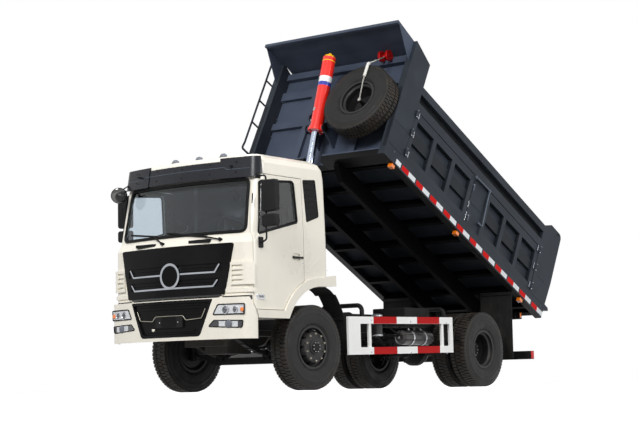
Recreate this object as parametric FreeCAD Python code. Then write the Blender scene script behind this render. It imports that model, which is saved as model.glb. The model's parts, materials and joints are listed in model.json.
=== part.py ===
import FreeCAD, Part
import math
import os
from FreeCAD import Vector

# Four-wheel tipping lorry, flat-nosed cab, bed raised. Millimetres.
# X points forward, Y to the driver's (left) side, Z up. X is measured from the front axle
# while the pieces are made, and the whole lorry is moved to its own centre when it is written.

# Wheels and axles
wheel_base = 3833.0
tyre_radius = 525.0
tyre_width = 275.0
lug_depth = 15.0
rim_radius = 254.0
rim_flange = 18.0
front_track = 1990.0
rear_overall = 2420.0
dual_spacing = 324.0
bolt_circle = 167.5
wheel_bolts = 10
steer_at_rest = 4.0
kingpin_y = 870.0
kingpin_radius = 22.0
spindle_radius = 35.0
rear_spindle_radius = 45.0
running_gap = 0.05
seat_gap = 0.3
moving_gap = 6.0

# Chassis
rail_top = 1010.0
rail_depth = 250.0
rail_outer_y = 430.0
rail_flange = 75.0
rail_plate = 9.0
rail_front = 1120.0
rail_rear = -5040.0
guard_outer_y = 1169.0
guard_front = -645.0
guard_rear = -3062.0
guard_top = 919.0
guard_bottom = 434.0
guard_bar = 92.0
guard_thickness = 32.0
guard_rake = 1.0
underrun_rear = -5300.0
underrun_top = 513.0
underrun_height = 122.0
underrun_half = 1150.0

# Cab
cab_half = 1128.0
cab_top_half = 1100.0
cab_rear = -300.0
cab_wall = 46.0
front_radius = 4000.0
nose_x = 1358.0
sill_bottom = 868.0
skirt_bottom = 1132.0
cowl_low = 1770.0
belt_z = 1880.0
belt_x = 1272.0
gutter_z = 2625.0
gutter_x = 1124.0
roof_top = 2877.0
floor_z = 1292.0
floor_plate = 40.0
arch_x = -130.0
arch_z = 560.0
arch_radius = 718.0
flare_width = 108.0
flare_proud = 24.0
flare_rear = -432.0
door_front = 1142.0
door_front_top = 1004.0
door_rear = 196.0
door_bottom = 972.0
door_reach = 970.0
door_top = 2600.0
panel_gap = 7.0
cab_pivot_x = 1262.0
cab_pivot_z = 1000.0
lid_hinge_x = 1376.0
lid_hinge_z = 1768.0
door_hinge_x = 1145.0
door_hinge_y = 1118.0
glass_thickness = 6.0

# Bumper
bumper_x = 1428.0
bumper_half = 1150.0
bumper_corner = 190.0
bumper_top = 1114.0
bumper_bottom = 622.0
bumper_wall = 34.0
bumper_end_low = (1118.0, 886.0)
bumper_end_high = (1232.0, 1128.0)
bumper_gap = 20.0

# Bed, in its own frame: u forward from its rear end, v up from the underside of its sills
bed_tilt = 27.57
bed_rear_x = -5428.8
bed_rear_z = 1002.2
bed_length = 4497.0
bed_half = 1218.0
bed_wall = 105.0
bed_side_height = 1350.0
front_post_height = 1854.0
front_post_width = 403.0
rear_post_width = 460.0
rear_post_height = 1462.0
rear_post_back = -40.0
sill_height = 205.0
rail_beam_low = 970.0
channel_low = 1098.0
channel_high = 1236.0
channel_depth = 62.0
mid_panel_rear = 2045.0
mid_panel_front = 2440.0
gate_stile = 86.0
gate_rib = 82.0
cell_low = 305.0
cell_high = 843.0
mid_rail_low = 515.0
mid_rail_high = 677.0
mid_rail_sunk = 28.0
cell_depth = 66.0
side_lamp_u = (602.0, 2502.0, 4230.0)
hook_reach = 112.0
floor_level = 92.0
floor_sheet = 8.0
runner_depth = 195.0
runner_width = 80.0
pivot_u = 430.0
pivot_v = -100.0
pivot_radius = 30.0
canopy_reach = 438.0
canopy_rise = 39.0
canopy_half = 1168.0
front_wall_u = 4270.0
front_sheet = 10.0
gate_gap = 10.0
hinge_radius = 14.0

# Tipping ram
ram_top_x = -1901.0
ram_tube_radius = 92.0
ram_radii = (57.0, 53.0, 49.0)
ram_wall = 8.0
trunnion_u = 4600.0
trunnion_v = 490.0
ram_pin_x = -770.0
ram_pin_z = 1050.0
ram_pin_radius = 24.0
ram_above = 1130.0
ram_below = 48.0

half_wheel_track = front_track / 2
outer_dual_y = rear_overall / 2 - tyre_width / 2
inner_dual_y = outer_dual_y - dual_spacing
dual_mid_y = (outer_dual_y + inner_dual_y) / 2
rear_axle_x = -wheel_base
rail_bottom = rail_top - rail_depth
rail_inner_y = rail_outer_y - rail_flange


def place(x, y, z):
    return Vector(x, y, z)


def box(x0, x1, y0, y1, z0, z1):
    return Part.makeBox(x1 - x0, y1 - y0, z1 - z0, place(x0, y0, z0))


def bar(start, end, radius):
    along = end - start
    return Part.makeCylinder(radius, along.Length, start, along)


def on_plane(plane, a, b, level):
    if plane == "xz":
        return place(a, level, b)
    if plane == "xy":
        return place(a, b, level)
    return place(level, a, b)


def outline(points, plane, level):
    # A closed outline; a point's third number rounds its corner
    edges = []
    flat = [on_plane(plane, p[0], p[1], level) for p in points]
    radii = [p[2] if len(p) > 2 else 0.0 for p in points]
    count = len(flat)
    starts = []
    ends = []
    mids = []
    for i, corner in enumerate(flat):
        to_last = flat[i - 1] - corner
        to_next = flat[(i + 1) % count] - corner
        to_last.normalize()
        to_next.normalize()
        half_turn = to_last.getAngle(to_next) / 2
        if radii[i] > 0:
            reach = radii[i] / math.tan(half_turn)
            middle = to_last + to_next
            middle.normalize()
            bulge = radii[i] / math.sin(half_turn) - radii[i]
            starts.append(corner + to_last * reach)
            mids.append(corner + middle * bulge)
            ends.append(corner + to_next * reach)
        else:
            starts.append(corner)
            mids.append(None)
            ends.append(corner)
    for i in range(count):
        if mids[i] is not None:
            edges.append(Part.Arc(starts[i], mids[i], ends[i]).toShape())
        following = (i + 1) % count
        if ends[i].distanceToPoint(starts[following]) > 0.01:
            edges.append(Part.makeLine(ends[i], starts[following]))
    return Part.Wire(edges)


def prism(points, plane, low, high):
    face = Part.Face(outline(points, plane, low))
    return face.extrude(on_plane(plane, 0, 0, high - low))


def spun(points, centre, axis):
    # A solid of revolution: each point is (distance along the axis, radius)
    side = place(0, 1, 0) if abs(axis.y) < 0.5 else place(1, 0, 0)
    edges = [centre + axis * p[0] + side * p[1] for p in points]
    wire = Part.makePolygon(edges + [edges[0]])
    return Part.Face(wire).revolve(centre, axis, 360)


def pipe(points, radius, bend):
    edges = []
    cursor = points[0]
    for i in range(1, len(points) - 1):
        back = points[i - 1] - points[i]
        ahead = points[i + 1] - points[i]
        back.normalize()
        ahead.normalize()
        half_turn = back.getAngle(ahead) / 2
        reach = bend / math.tan(half_turn)
        middle = back + ahead
        middle.normalize()
        bulge = bend / math.sin(half_turn) - bend
        start = points[i] + back * reach
        end = points[i] + ahead * reach
        if cursor.distanceToPoint(start) > 0.01:
            edges.append(Part.makeLine(cursor, start))
        edges.append(Part.Arc(start, points[i] + middle * bulge, end).toShape())
        cursor = end
    edges.append(Part.makeLine(cursor, points[-1]))
    path = Part.Wire(edges)
    ring = Part.Wire(Part.makeCircle(radius, points[0], points[1] - points[0]))
    return path.makePipeShell([ring], True, False)


def fused(shapes):
    return shapes[0].multiFuse(shapes[1:]).removeSplitter()


def group(shapes):
    solids = []
    for shape in shapes:
        solids += shape.Solids
    return Part.makeCompound(solids)


def mirrored(shape):
    return shape.mirror(place(0, 0, 0), place(0, 1, 0))


def both_sides(shape):
    return group([shape, mirrored(shape)])


def turned(shape, centre, axis, degrees):
    copy = shape.copy()
    copy.rotate(centre, axis, degrees)
    return copy


def in_bed(shape):
    copy = shape.copy()
    copy.rotate(place(0, 0, 0), place(0, 1, 0), -bed_tilt)
    copy.translate(place(bed_rear_x, 0, bed_rear_z))
    return copy


def bed_point(u, y, v):
    tilt = math.radians(bed_tilt)
    x = bed_rear_x + u * math.cos(tilt) - v * math.sin(tilt)
    z = bed_rear_z + u * math.sin(tilt) + v * math.cos(tilt)
    return place(x, y, z)


# Wheels

def tyre(centre, side):
    # Side is +1 on the left: the outer sidewall faces that way
    half = tyre_width / 2
    base = tyre_radius - lug_depth
    bead = rim_radius + seat_gap
    flange = rim_radius + rim_flange + seat_gap
    profile = [(-0.36 * tyre_width, bead), (-0.36 * tyre_width, flange), (-0.41 * tyre_width, flange + 8),
               (-half, 0.74 * tyre_radius),
               (-0.47 * tyre_width, 0.86 * tyre_radius), (-0.42 * tyre_width, base),
               (0.42 * tyre_width, base), (0.47 * tyre_width, 0.86 * tyre_radius),
               (half, 0.74 * tyre_radius), (0.41 * tyre_width, flange + 8), (0.36 * tyre_width, flange),
               (0.36 * tyre_width, bead)]
    axis = place(0, 1, 0)
    carcass = spun(profile, centre, axis)
    lug_half = 0.42 * tyre_width
    crown = spun([(-lug_half, base - 5), (-lug_half, tyre_radius), (lug_half, tyre_radius),
                  (lug_half, base - 5)], centre, axis)
    return carcass.fuse(crown).removeSplitter()


def rim_barrel(centre):
    half = 0.36 * tyre_width + seat_gap
    rim = rim_radius
    profile = [(-half - 12, rim + rim_flange), (-half, rim + rim_flange), (-half, rim),
               (-half + 30, rim - 1), (-half + 48, rim - 26), (half - 48, rim - 26),
               (half - 30, rim - 1), (half, rim), (half, rim + rim_flange),
               (half + 12, rim + rim_flange), (half + 12, rim - 12), (half - 26, rim - 14),
               (half - 46, rim - 38), (-half + 46, rim - 38), (-half + 26, rim - 14),
               (-half - 12, rim - 12)]
    return spun(profile, centre, place(0, 1, 0))


def ring_of(count, radius, centre, axis, make, start=0.0):
    side = place(0, 0, 1)
    shapes = []
    for i in range(count):
        spoke = turned(make(centre + side * radius), centre, axis, start + i * 360.0 / count)
        shapes.append(spoke)
    return shapes


def front_rim(side):
    # A bowed disc whose hub face stands proud of the tyre, with the drum behind it
    centre = place(0, side * half_wheel_track, tyre_radius)
    out = place(0, side, 0)
    rim = rim_radius
    disc = spun([(10, rim - 30), (24, rim - 30), (96, 200), (136, 186), (146, 176), (146, 60),
                 (130, 60), (130, 170), (84, 186), (10, rim - 42)], centre, out)
    hub = spun([(-70, spindle_radius + running_gap), (-70, 205), (30, 205), (60, 130), (131, 130),
                (131, 96), (158, 92), (166, 80), (166, 0), (110, 0),
                (110, spindle_radius + running_gap)], centre, out)

    def hand_hole(point):
        return Part.makeCylinder(20, 120, point + out * 20, out)

    def bolt(point):
        return Part.makeCylinder(14, 22, point + out * 140, out)

    holes = ring_of(wheel_bolts, 203, centre, out, hand_hole, 18)
    bolts = ring_of(wheel_bolts, bolt_circle, centre, out, bolt)
    return fused([rim_barrel(centre), disc.cut(Part.makeCompound(holes)), hub] + bolts)


def rear_rims(side):
    # Two dished discs back to back, with the hub and drum that carry them
    out = place(0, side, 0)
    outer = place(rear_axle_x, side * outer_dual_y, tyre_radius)
    inner = place(rear_axle_x, side * inner_dual_y, tyre_radius)
    middle = place(rear_axle_x, side * dual_mid_y, tyre_radius)
    rim = rim_radius
    dish = [(0, 140), (14, 140), (14, 186), (60, 205), (96, rim - 40), (120, rim - 30),
            (110, rim - 30), (86, rim - 32), (50, 215), (0, 196)]
    plates = [spun(dish, middle, out), spun([(-a, r) for a, r in dish], middle, out)]
    hub = spun([(-90, rear_spindle_radius + running_gap), (-90, 195), (-16, 195), (-16, 205), (0, 205),
                (16, 205), (16, 130), (90, 118), (104, 104), (104, 0), (78, 0),
                (78, rear_spindle_radius + running_gap)], middle, out)

    def bolt(point):
        return Part.makeCylinder(14, 30, point + out * 10, out)

    bolts = ring_of(wheel_bolts, bolt_circle, middle, out, bolt)
    return fused([rim_barrel(outer), rim_barrel(inner), hub] + plates + bolts)


# Axles and steering

def kingpin(side):
    return place(0, side * kingpin_y, tyre_radius)


def knuckle(side):
    centre = kingpin(side)
    hub_y = side * half_wheel_track
    parts = []
    for low in (76, -116):
        parts.append(Part.makeCylinder(50, 40, centre + place(0, 0, low), place(0, 0, 1)))
    near, far = sorted((centre.y + side * 20, centre.y + side * 48))
    parts.append(box(-45, 45, near, far, tyre_radius - 116, tyre_radius + 116))
    face = centre + place(0, side * 40, 0)
    tip = place(0, hub_y + side * 100, tyre_radius)
    parts.append(bar(face, tip, spindle_radius))
    body = fused(parts)
    slot = Part.makeCylinder(56, 152, centre - place(0, 0, 76), place(0, 0, 1))
    bore = Part.makeCylinder(kingpin_radius + running_gap, 300, centre - place(0, 0, 150), place(0, 0, 1))
    arm = fused([body, box(-210, -20, centre.y + side * 20 - 22, centre.y + side * 20 + 22,
                           tyre_radius - 112, tyre_radius - 84)])
    return turned(arm.cut(slot).cut(bore), centre, place(0, 0, 1), -steer_at_rest)


def steered(shape, side):
    return turned(shape, kingpin(side), place(0, 0, 1), -steer_at_rest)


def front_axle():
    # A dropped forged beam with a kingpin through the eye at each end
    beam_high = tyre_radius - 45
    beam = prism([(-kingpin_y, beam_high + 25), (-kingpin_y, beam_high - 20), (-800, beam_high - 20),
                  (-640, beam_high - 60, 80),
                  (-500, 340, 80), (500, 340, 80), (640, beam_high - 60, 80), (800, beam_high - 20),
                  (kingpin_y, beam_high - 20),
                  (kingpin_y, beam_high + 25), (600, beam_high, 80), (470, 430, 80), (-470, 430, 80),
                  (-600, beam_high, 80)], "yz", -40, 40)
    parts = [beam]
    for side in (1, -1):
        centre = kingpin(side)
        parts.append(Part.makeCylinder(46, 140, centre - place(0, 0, 70), place(0, 0, 1)))
        parts.append(Part.makeCylinder(kingpin_radius, 236, centre - place(0, 0, 118), place(0, 0, 1)))
        parts.append(box(-75, 75, side * spring_y - 45, side * spring_y + 45, 420, 452))
    return fused(parts)


spring_y = rail_outer_y - rail_flange / 2
rear_spring_y = rail_outer_y + 62.0


def leaf_spring(x, y, seat, half_length, rise, width, leaves, hangers):
    # Curved leaves clamped at the axle, the longest carried by hangers on the rail
    low, high = y - width / 2, y + width / 2
    thick = 13.0
    shapes = []
    for i in range(leaves):
        reach = half_length * (1 - i * 0.75 / leaves)
        lift = rise * (reach / half_length) ** 2
        base = seat + (leaves - 1 - i) * thick
        under = [place(x - reach, low, base + lift), place(x, low, base), place(x + reach, low, base + lift)]
        over = [p + place(0, 0, thick + 0.5) for p in under]
        wire = Part.Wire([Part.Arc(*under).toShape(), Part.makeLine(under[2], over[2]),
                          Part.Arc(*over).toShape(), Part.makeLine(over[0], under[0])])
        shapes.append(Part.Face(wire).extrude(place(0, width, 0)))
    top = seat + leaves * thick
    for end in (-1, 1):
        tip = x + end * half_length
        hanger = box(tip - 30, tip + 30, low, high, top + rise - 22, hangers)
        shapes.append(hanger)
    shapes.append(box(x - 55, x + 55, low, high, seat, top + 22))
    return fused(shapes)


def leaf_springs():
    front = leaf_spring(0, spring_y, 452 + seat_gap, 640, 150, 74, 4, rail_bottom - seat_gap)
    rear = leaf_spring(rear_axle_x, rear_spring_y, tyre_radius + 92 + seat_gap, 700, 60, 90, 6,
                       rail_bottom + 60)
    stud_low = rail_outer_y + seat_gap
    studs = [box(rear_axle_x + s * 700 - 30, rear_axle_x + s * 700 + 30, stud_low, rear_spring_y + 45,
                 rail_bottom + 60, rail_bottom + 130) for s in (-1, 1)]
    rear = fused([rear] + studs)
    return group([front, mirrored(front), rear, mirrored(rear)])


def rear_axle():
    centre = place(rear_axle_x, 0, tyre_radius)
    across = place(0, 1, 0)
    along = place(1, 0, 0)
    drum_face = dual_mid_y - 100
    housing = bar(centre - across * (drum_face - 20), centre + across * (drum_face - 20), 72)
    bulge = spun([(-190, 0), (-185, 90), (-130, 170), (-40, 205), (60, 205), (120, 175), (200, 100),
                  (270, 85), (280, 60), (280, 0)], centre, along)
    tip = dual_mid_y + 70
    shaft = bar(centre - across * tip, centre + across * tip, rear_spindle_radius)
    seats = [box(rear_axle_x - 60, rear_axle_x + 60, s * rear_spring_y - 45, s * rear_spring_y + 45,
                 tyre_radius, tyre_radius + 92) for s in (-1, 1)]
    joint = place(rear_axle_x + 270, 0, tyre_radius)
    gearbox = place(gearbox_rear - moving_gap, 0, 715)
    prop = bar(joint, gearbox, 45)
    return fused([housing, bulge, shaft, prop] + seats)


# Chassis

def chassis_frame():
    # Two channel rails, cross-members, the ram's seat, and the ears of the bed's hinge
    web_inner = rail_outer_y - rail_plate
    section = [(rail_inner_y, rail_top), (rail_outer_y, rail_top), (rail_outer_y, rail_bottom),
               (rail_inner_y, rail_bottom), (rail_inner_y, rail_bottom + rail_plate),
               (web_inner, rail_bottom + rail_plate), (web_inner, rail_top - rail_plate),
               (rail_inner_y, rail_top - rail_plate)]
    rail = prism(section, "yz", rail_rear, rail_front)
    parts = [rail, mirrored(rail)]
    for x in (rail_front - 60, -940, -1700, -2600, rear_axle_x - 380, rail_rear + 4):
        parts.append(box(x - 4, x + 4, -web_inner, web_inner, rail_bottom + 20, rail_top - 20))
    seat_top = ram_pin_z - 150
    seat = box(ram_pin_x - 70, ram_pin_x + 70, -web_inner, web_inner, seat_top - 120, seat_top)
    parts.append(seat)
    ear_in = 64.0
    for side in (1, -1):
        ear = prism([(ram_pin_x - 60, seat_top), (ram_pin_x + 60, seat_top), (ram_pin_x + 45, ram_pin_z + 40, 30),
                     (ram_pin_x - 45, ram_pin_z + 40, 30)], "xz", ear_in, ear_in + 16)
        parts.append(ear if side > 0 else mirrored(ear))
    hinge = bed_point(pivot_u, 0, pivot_v)
    for low in (rail_outer_y + moving_gap, rail_inner_y - 5 - 20):
        foot = rail_top - 150 if low > rail_inner_y else rail_top - 100
        lug = prism([(hinge.x - 70, foot), (hinge.x + 110, foot), (hinge.x + 50, hinge.z + 45, 40),
                     (hinge.x - 36, hinge.z + 45, 34)], "xz", low, low + 20)
        parts += [lug, mirrored(lug)]
    outer_pad = box(hinge.x - 34, hinge.x + 110, rail_outer_y - 1, rail_outer_y + moving_gap + 1,
                    rail_top - 150, rail_top - 20)
    inner_pad = box(hinge.x - 34, hinge.x + 110, rail_inner_y - 25, rail_outer_y - 2, rail_top - 100,
                    rail_top - 90)
    pin = bar(place(hinge.x, rail_inner_y - 24, hinge.z),
              place(hinge.x, rail_outer_y + moving_gap + 19, hinge.z), pivot_radius)
    parts += [outer_pad, mirrored(outer_pad), inner_pad, mirrored(inner_pad), pin, mirrored(pin)]
    for side in (1, -1):
        low, high = sorted((side * (rail_inner_y + 12), side * (rail_inner_y + 30)))
        ear = prism([(rail_front - 160, rail_bottom + 10), (rail_front - 1, rail_bottom + 10),
                     (cab_pivot_x + 45, cab_pivot_z - 60), (cab_pivot_x + 45, cab_pivot_z + 45, 40),
                     (cab_pivot_x - 45, cab_pivot_z + 45, 40), (rail_front - 160, rail_top - 20)], "xz",
                    low, high)
        parts.append(ear)
        low, high = sorted((side * (rail_inner_y - 40), side * (rail_inner_y + 29)))
        parts.append(bar(place(cab_pivot_x, low, cab_pivot_z), place(cab_pivot_x, high, cab_pivot_z), 20))
        low, high = sorted((side * (rail_inner_y + 2), side * (rail_outer_y - 2)))
        parts.append(box(cab_rear + 90, cab_rear + 170, low, high, rail_top - 5, floor_z - seat_gap))
    frame = fused(parts)
    for dy in (-1, 1):
        for dz in (-1, 1):
            hole = bar(place(rail_rear - 20, dy * tow_spacing_y / 2, tow_centre_z + dz * tow_spacing_z / 2),
                       place(rail_rear + 30, dy * tow_spacing_y / 2, tow_centre_z + dz * tow_spacing_z / 2),
                       tow_hole_radius)
            frame = frame.cut(hole)
    return frame


gearbox_rear = -672.0
tow_spacing_y = 160.0
tow_spacing_z = 100.0
tow_hole_radius = 10.5
tow_centre_z = rail_top - rail_depth / 2


def engine_block():
    core = box(gearbox_rear + 420, 620, -300, 300, 690, floor_z - 52)
    web_gap = rail_outer_y - rail_plate - seat_gap
    feet = box(100, 220, -web_gap, web_gap, rail_bottom + rail_plate + seat_gap, 880)
    gearbox = spun([(0, 0), (0, 190), (-60, 190), (-280, 130), (-420, 110), (-420, 0)],
                   place(gearbox_rear + 420, 0, 760), place(1, 0, 0))
    cut = box(gearbox_rear - 50, gearbox_rear + 420, -300, 300, 900, 1400)
    sump = box(110, 560, -190, 190, 470, 691)
    cowl = box(619, 691, -290, 290, 700, floor_z - 60)
    radiator = box(690, 780, -330, 330, 560, floor_z - 60)
    return fused([core, feet, sump, cowl, radiator, gearbox.cut(cut)])


def fuel_tank():
    # The tank hangs on the right rail by two straps
    outer = -rail_outer_y - seat_gap
    tank = prism([(outer - 60, 560, 70), (outer - 560, 560, 70), (outer - 560, 1000, 70),
                  (outer - 60, 1000, 70)], "yz", -2150, -1050)
    arms = [box(x, x + 50, outer - 100, outer, 700, 960) for x in (-1950, -1300)]
    cap = bar(place(-1250, outer - 300, 990), place(-1250, outer - 300, 1040), 55)
    return fused([tank, cap] + arms)


def air_tanks():
    # Two air reservoirs with bands, the drier, and the bent stays of the guard
    inner = rail_outer_y + seat_gap
    parts = []
    for x0, x1, y, z in ((-2880, -2150, 900, 680),):
        centre = place(x0, y, z)
        length = x1 - x0
        parts.append(spun([(0, 0), (8, 60), (40, 98), (length - 40, 98), (length - 8, 60), (length, 0)],
                          centre, place(1, 0, 0)))
        for share in (0.3, 0.7):
            parts.append(spun([(length * share - 18, 90), (length * share - 18, 104),
                               (length * share + 18, 104), (length * share + 18, 90)], centre,
                              place(1, 0, 0)))
        arm_x = x0 + length * 0.5
        parts.append(box(arm_x - 30, arm_x + 30, inner, y, z + 60, z + 140))
    drier = bar(place(-1760, 820, 690), place(-1760, 820, 960), 70)
    drier_arm = box(-1790, -1730, inner, 820, 900, 950)
    group_b = fused([drier, drier_arm])
    return group([fused(parts), group_b])


def battery_box():
    inner = rail_outer_y + seat_gap
    lid = prism([(-2800, 830, 12), (-2210, 830, 12), (-2210, 1085, 20), (-2800, 1085, 20)], "xz", inner, 960)
    return lid


def guard_frame():
    # Two rails on posts, with a wide plate at the front end
    inner = guard_outer_y - guard_thickness
    plate_end = guard_front - 255
    low, high = guard_bottom, guard_top
    parts = [box(plate_end, guard_front, inner, guard_outer_y, low, high),
             box(guard_rear, guard_front, inner, guard_outer_y, high - guard_bar, high),
             box(guard_rear, guard_front, inner, guard_outer_y, low, low + guard_bar),
             box(guard_rear, guard_rear + 80, inner, guard_outer_y, low, high)]
    for x in (guard_front - 470, guard_rear + 250):
        parts.append(box(x - 26, x + 26, inner - 2, guard_outer_y - 6, low + 10, high - 10))
    return turned(fused(parts), place(guard_front, 0, high), place(0, 1, 0), guard_rake)


def guard_stay(x):
    inner = rail_outer_y + seat_gap
    lift = (guard_front - x) * math.tan(math.radians(guard_rake))
    foot = place(x, guard_outer_y - guard_thickness - 34, guard_top - guard_bar * 0.5 + lift)
    top = 1075.0
    points = [place(x, inner + 30, rail_top - 130), place(x, inner + 30, top), place(x, foot.y, top), foot]
    stay = pipe(points, 30, 75)
    clip = box(x - 24, x + 24, inner, inner + 40, rail_top - 160, rail_top - 90)
    tab = box(x - 22, x + 22, foot.y - 20, guard_outer_y - guard_thickness - seat_gap, foot.z - 20, foot.z + 18)
    return fused([stay, clip, tab])


def side_guards():
    return both_sides(guard_frame())


def guard_stays():
    left = [guard_stay(x) for x in (-1030, guard_rear + 120)]
    return group(left + [mirrored(s) for s in left])


def front_flaps():
    # Curved flaps behind the front wheels, on a bracket from each rail
    inner, outer = 860.0, 1128.0
    thick = 10.0
    back = [place(-440, inner, 1190), place(-640, inner, 860), place(-712, inner, 455)]
    front = [p + place(thick, 0, 0) for p in back]
    wire = Part.Wire([Part.Arc(*back).toShape(), Part.makeLine(back[2], front[2]),
                      Part.Arc(*front).toShape(), Part.makeLine(front[0], back[0])])
    flap = Part.Face(wire).extrude(place(0, outer - inner, 0))
    arm = box(-628, -600, rail_outer_y + seat_gap, outer - 20, 880, 920)
    return both_sides(fused([flap, arm]))


def underrun_bar():
    front = underrun_rear + 90
    beam = box(underrun_rear, front, -underrun_half, underrun_half, underrun_top - underrun_height,
               underrun_top)
    arm = prism([(front - 1, underrun_top - 10), (front - 1, underrun_top - 110), (-5000, rail_bottom + 20),
                 (-4880, rail_bottom + 20), (-4880, rail_bottom + 85), (-5000, rail_bottom + 85)], "xz",
                rail_outer_y + seat_gap, rail_outer_y + 12)
    return fused([beam, arm, mirrored(arm)])


def tail_lamps():
    lamp = box(-5130, -5068, 700, 1060, 985, 1090)
    arm = box(-5068, -5040, rail_outer_y + 40, 1000, 1000, 1050)
    lug_face = rail_outer_y + moving_gap + 20 + seat_gap
    foot = box(-5068, -4960, lug_face, lug_face + 20, 900, 1050)
    return both_sides(fused([lamp, arm, foot]))


# Cab

def plan_wire(nose, half, rear, corner, rear_corner, level, grow=0.0):
    # Plan outline of the cab: a bowed front between rounded corners
    nose, half, rear = nose + grow, half + grow, rear - grow
    big = front_radius
    centre = place(nose - big, 0, level)
    cy = half - corner
    cx = centre.x + math.sqrt((big - corner) ** 2 - cy ** 2)
    direction = place(cx - centre.x, cy, 0)
    direction.normalize()
    tangent = centre + direction * big
    half_way = place(cx, cy, level) + (direction + place(0, 1, 0)).normalize() * corner
    side_front = place(cx, half, level)
    side_rear = place(rear + rear_corner, half, level)
    back = place(rear, half - rear_corner, level)
    bend = rear_corner * (1 - math.sqrt(0.5))
    back_mid = place(rear + bend, half - bend, level)

    def flip(p):
        return place(p.x, -p.y, p.z)

    edges = [Part.Arc(flip(tangent), place(nose, 0, level), tangent).toShape(),
             Part.Arc(tangent, half_way, side_front).toShape(),
             Part.makeLine(side_front, side_rear),
             Part.Arc(side_rear, back_mid, back).toShape(),
             Part.makeLine(back, flip(back)),
             Part.Arc(flip(back), flip(back_mid), flip(side_rear)).toShape(),
             Part.makeLine(flip(side_rear), flip(side_front)),
             Part.Arc(flip(side_front), flip(half_way), flip(tangent)).toShape()]
    return Part.Wire(edges)


def cab_sections(shrink, low, high):
    # Nose, half width, rear end and height of each level from the sill to the roof
    levels = [(nose_x, cab_half, cab_rear, sill_bottom, 150), (nose_x, cab_half, cab_rear, cowl_low, 150),
              (belt_x, cab_half, cab_rear, belt_z, 120), (gutter_x, cab_top_half, cab_rear, gutter_z, 95),
              (gutter_x - 28, cab_top_half - 14, cab_rear + 10, gutter_z + 120, 95),
              (gutter_x - 66, cab_top_half - 48, cab_rear + 42, gutter_z + 190, 95),
              (gutter_x - 128, cab_top_half - 110, cab_rear + 104, gutter_z + 232, 95),
              (gutter_x - 220, cab_top_half - 200, cab_rear + 200, roof_top, 95)]
    wires = []
    for nose, half, rear, level, corner in levels:
        height = level
        if shrink and level == roof_top:
            height = roof_top - shrink
        elif shrink and level > gutter_z:
            height = level - shrink * 0.55
        if level == sill_bottom:
            height = low
        wires.append(plan_wire(nose, half, rear, corner, 70, height, -shrink))
    return Part.makeLoft(wires, True, True)


def arch_tool(radius, top_rear, rear_end):
    # What the wheel's arch takes away, as seen from the side
    sill = sill_bottom - 40
    start = math.asin((sill - arch_z) / radius)
    first = place(arch_x + radius * math.cos(start), -1500, sill)
    middle_turn = math.radians(62)
    middle = place(arch_x + radius * math.cos(middle_turn), -1500, arch_z + radius * math.sin(middle_turn))
    top = place(arch_x, -1500, arch_z + radius)
    rear_top = place(rear_end, -1500, top_rear)
    rear_low = place(rear_end, -1500, sill)
    wire = Part.Wire([Part.Arc(first, middle, top).toShape(), Part.makeLine(top, rear_top),
                      Part.makeLine(rear_top, rear_low), Part.makeLine(rear_low, first)])
    return Part.Face(wire).extrude(place(0, 3000, 0))


def door_outline(gap):
    # Door seen from the side, its lower rear corner following the wheel's flare
    radius = arch_radius + flare_width + 12 + gap
    rear = door_rear + gap
    bottom = door_bottom + gap
    low_x = arch_x + math.sqrt(radius ** 2 - (bottom - arch_z) ** 2)
    high_z = arch_z + math.sqrt(radius ** 2 - (rear - arch_x) ** 2)
    turn = (math.atan2(bottom - arch_z, low_x - arch_x) + math.atan2(high_z - arch_z, rear - arch_x)) / 2
    middle = place(arch_x + radius * math.cos(turn), 0, arch_z + radius * math.sin(turn))
    front = door_front - gap
    top = door_top - gap
    top_front = door_front_top - gap
    points = [place(front - 30, 0, bottom), place(low_x, 0, bottom), place(rear, 0, high_z),
              place(rear, 0, top), place(top_front, 0, top), place(front, 0, cowl_low),
              place(front, 0, bottom + 60)]
    edges = [Part.makeLine(points[0], points[1]), Part.Arc(points[1], middle, points[2]).toShape()]
    for a, b in zip(points[2:], points[3:] + points[:1]):
        edges.append(Part.makeLine(a, b))
    return Part.Face(Part.Wire(edges))


door_window = [(988, 2520, 45), (345, 2562, 60), (300, 2052, 40), (1062, 1862, 30)]


def door_prism(gap, low, high):
    face = door_outline(gap)
    face.translate(place(0, low, 0))
    return face.extrude(place(0, high - low, 0))


def cab_solid():
    return cab_sections(0, sill_bottom, roof_top)


def cab_inside():
    upper = cab_sections(cab_wall, floor_z + floor_plate, roof_top)
    return upper


deflector_rear = 1152.0
deflector_low = 1262.0
deflector_high = 1532.0
deflector_proud = 24.0
louvres = 4
shelf_low = 1172.0
shelf_high = 1219.0


def corner_deflector():
    # Proud panel round the front corner, with slots across it and a shelf below
    panel = front_skin(-20, deflector_proud, deflector_low, deflector_high)
    edge = lid_bottom_half + (deflector_high - lid_bottom) * (lid_top_half - lid_bottom_half) / (lid_top - lid_bottom)
    panel = panel.common(box(deflector_rear, 1600, edge + panel_gap, 1300, deflector_low, deflector_high))
    pitch = (deflector_high - deflector_low - 40) / louvres
    for i in range(louvres):
        z = deflector_low + 26 + i * pitch
        slot = front_skin(4, deflector_proud + 20, z, z + pitch * 0.62)
        panel = panel.cut(slot.common(box(deflector_rear + 12, 1600, edge + 26, 1300, z, z + pitch)))
    shelf = front_skin(-20, 16, shelf_low, shelf_high)
    shelf = shelf.common(box(deflector_rear, 1600, lid_bottom_half + 18, 1300, shelf_low, shelf_high))
    return group([panel, shelf])


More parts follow.
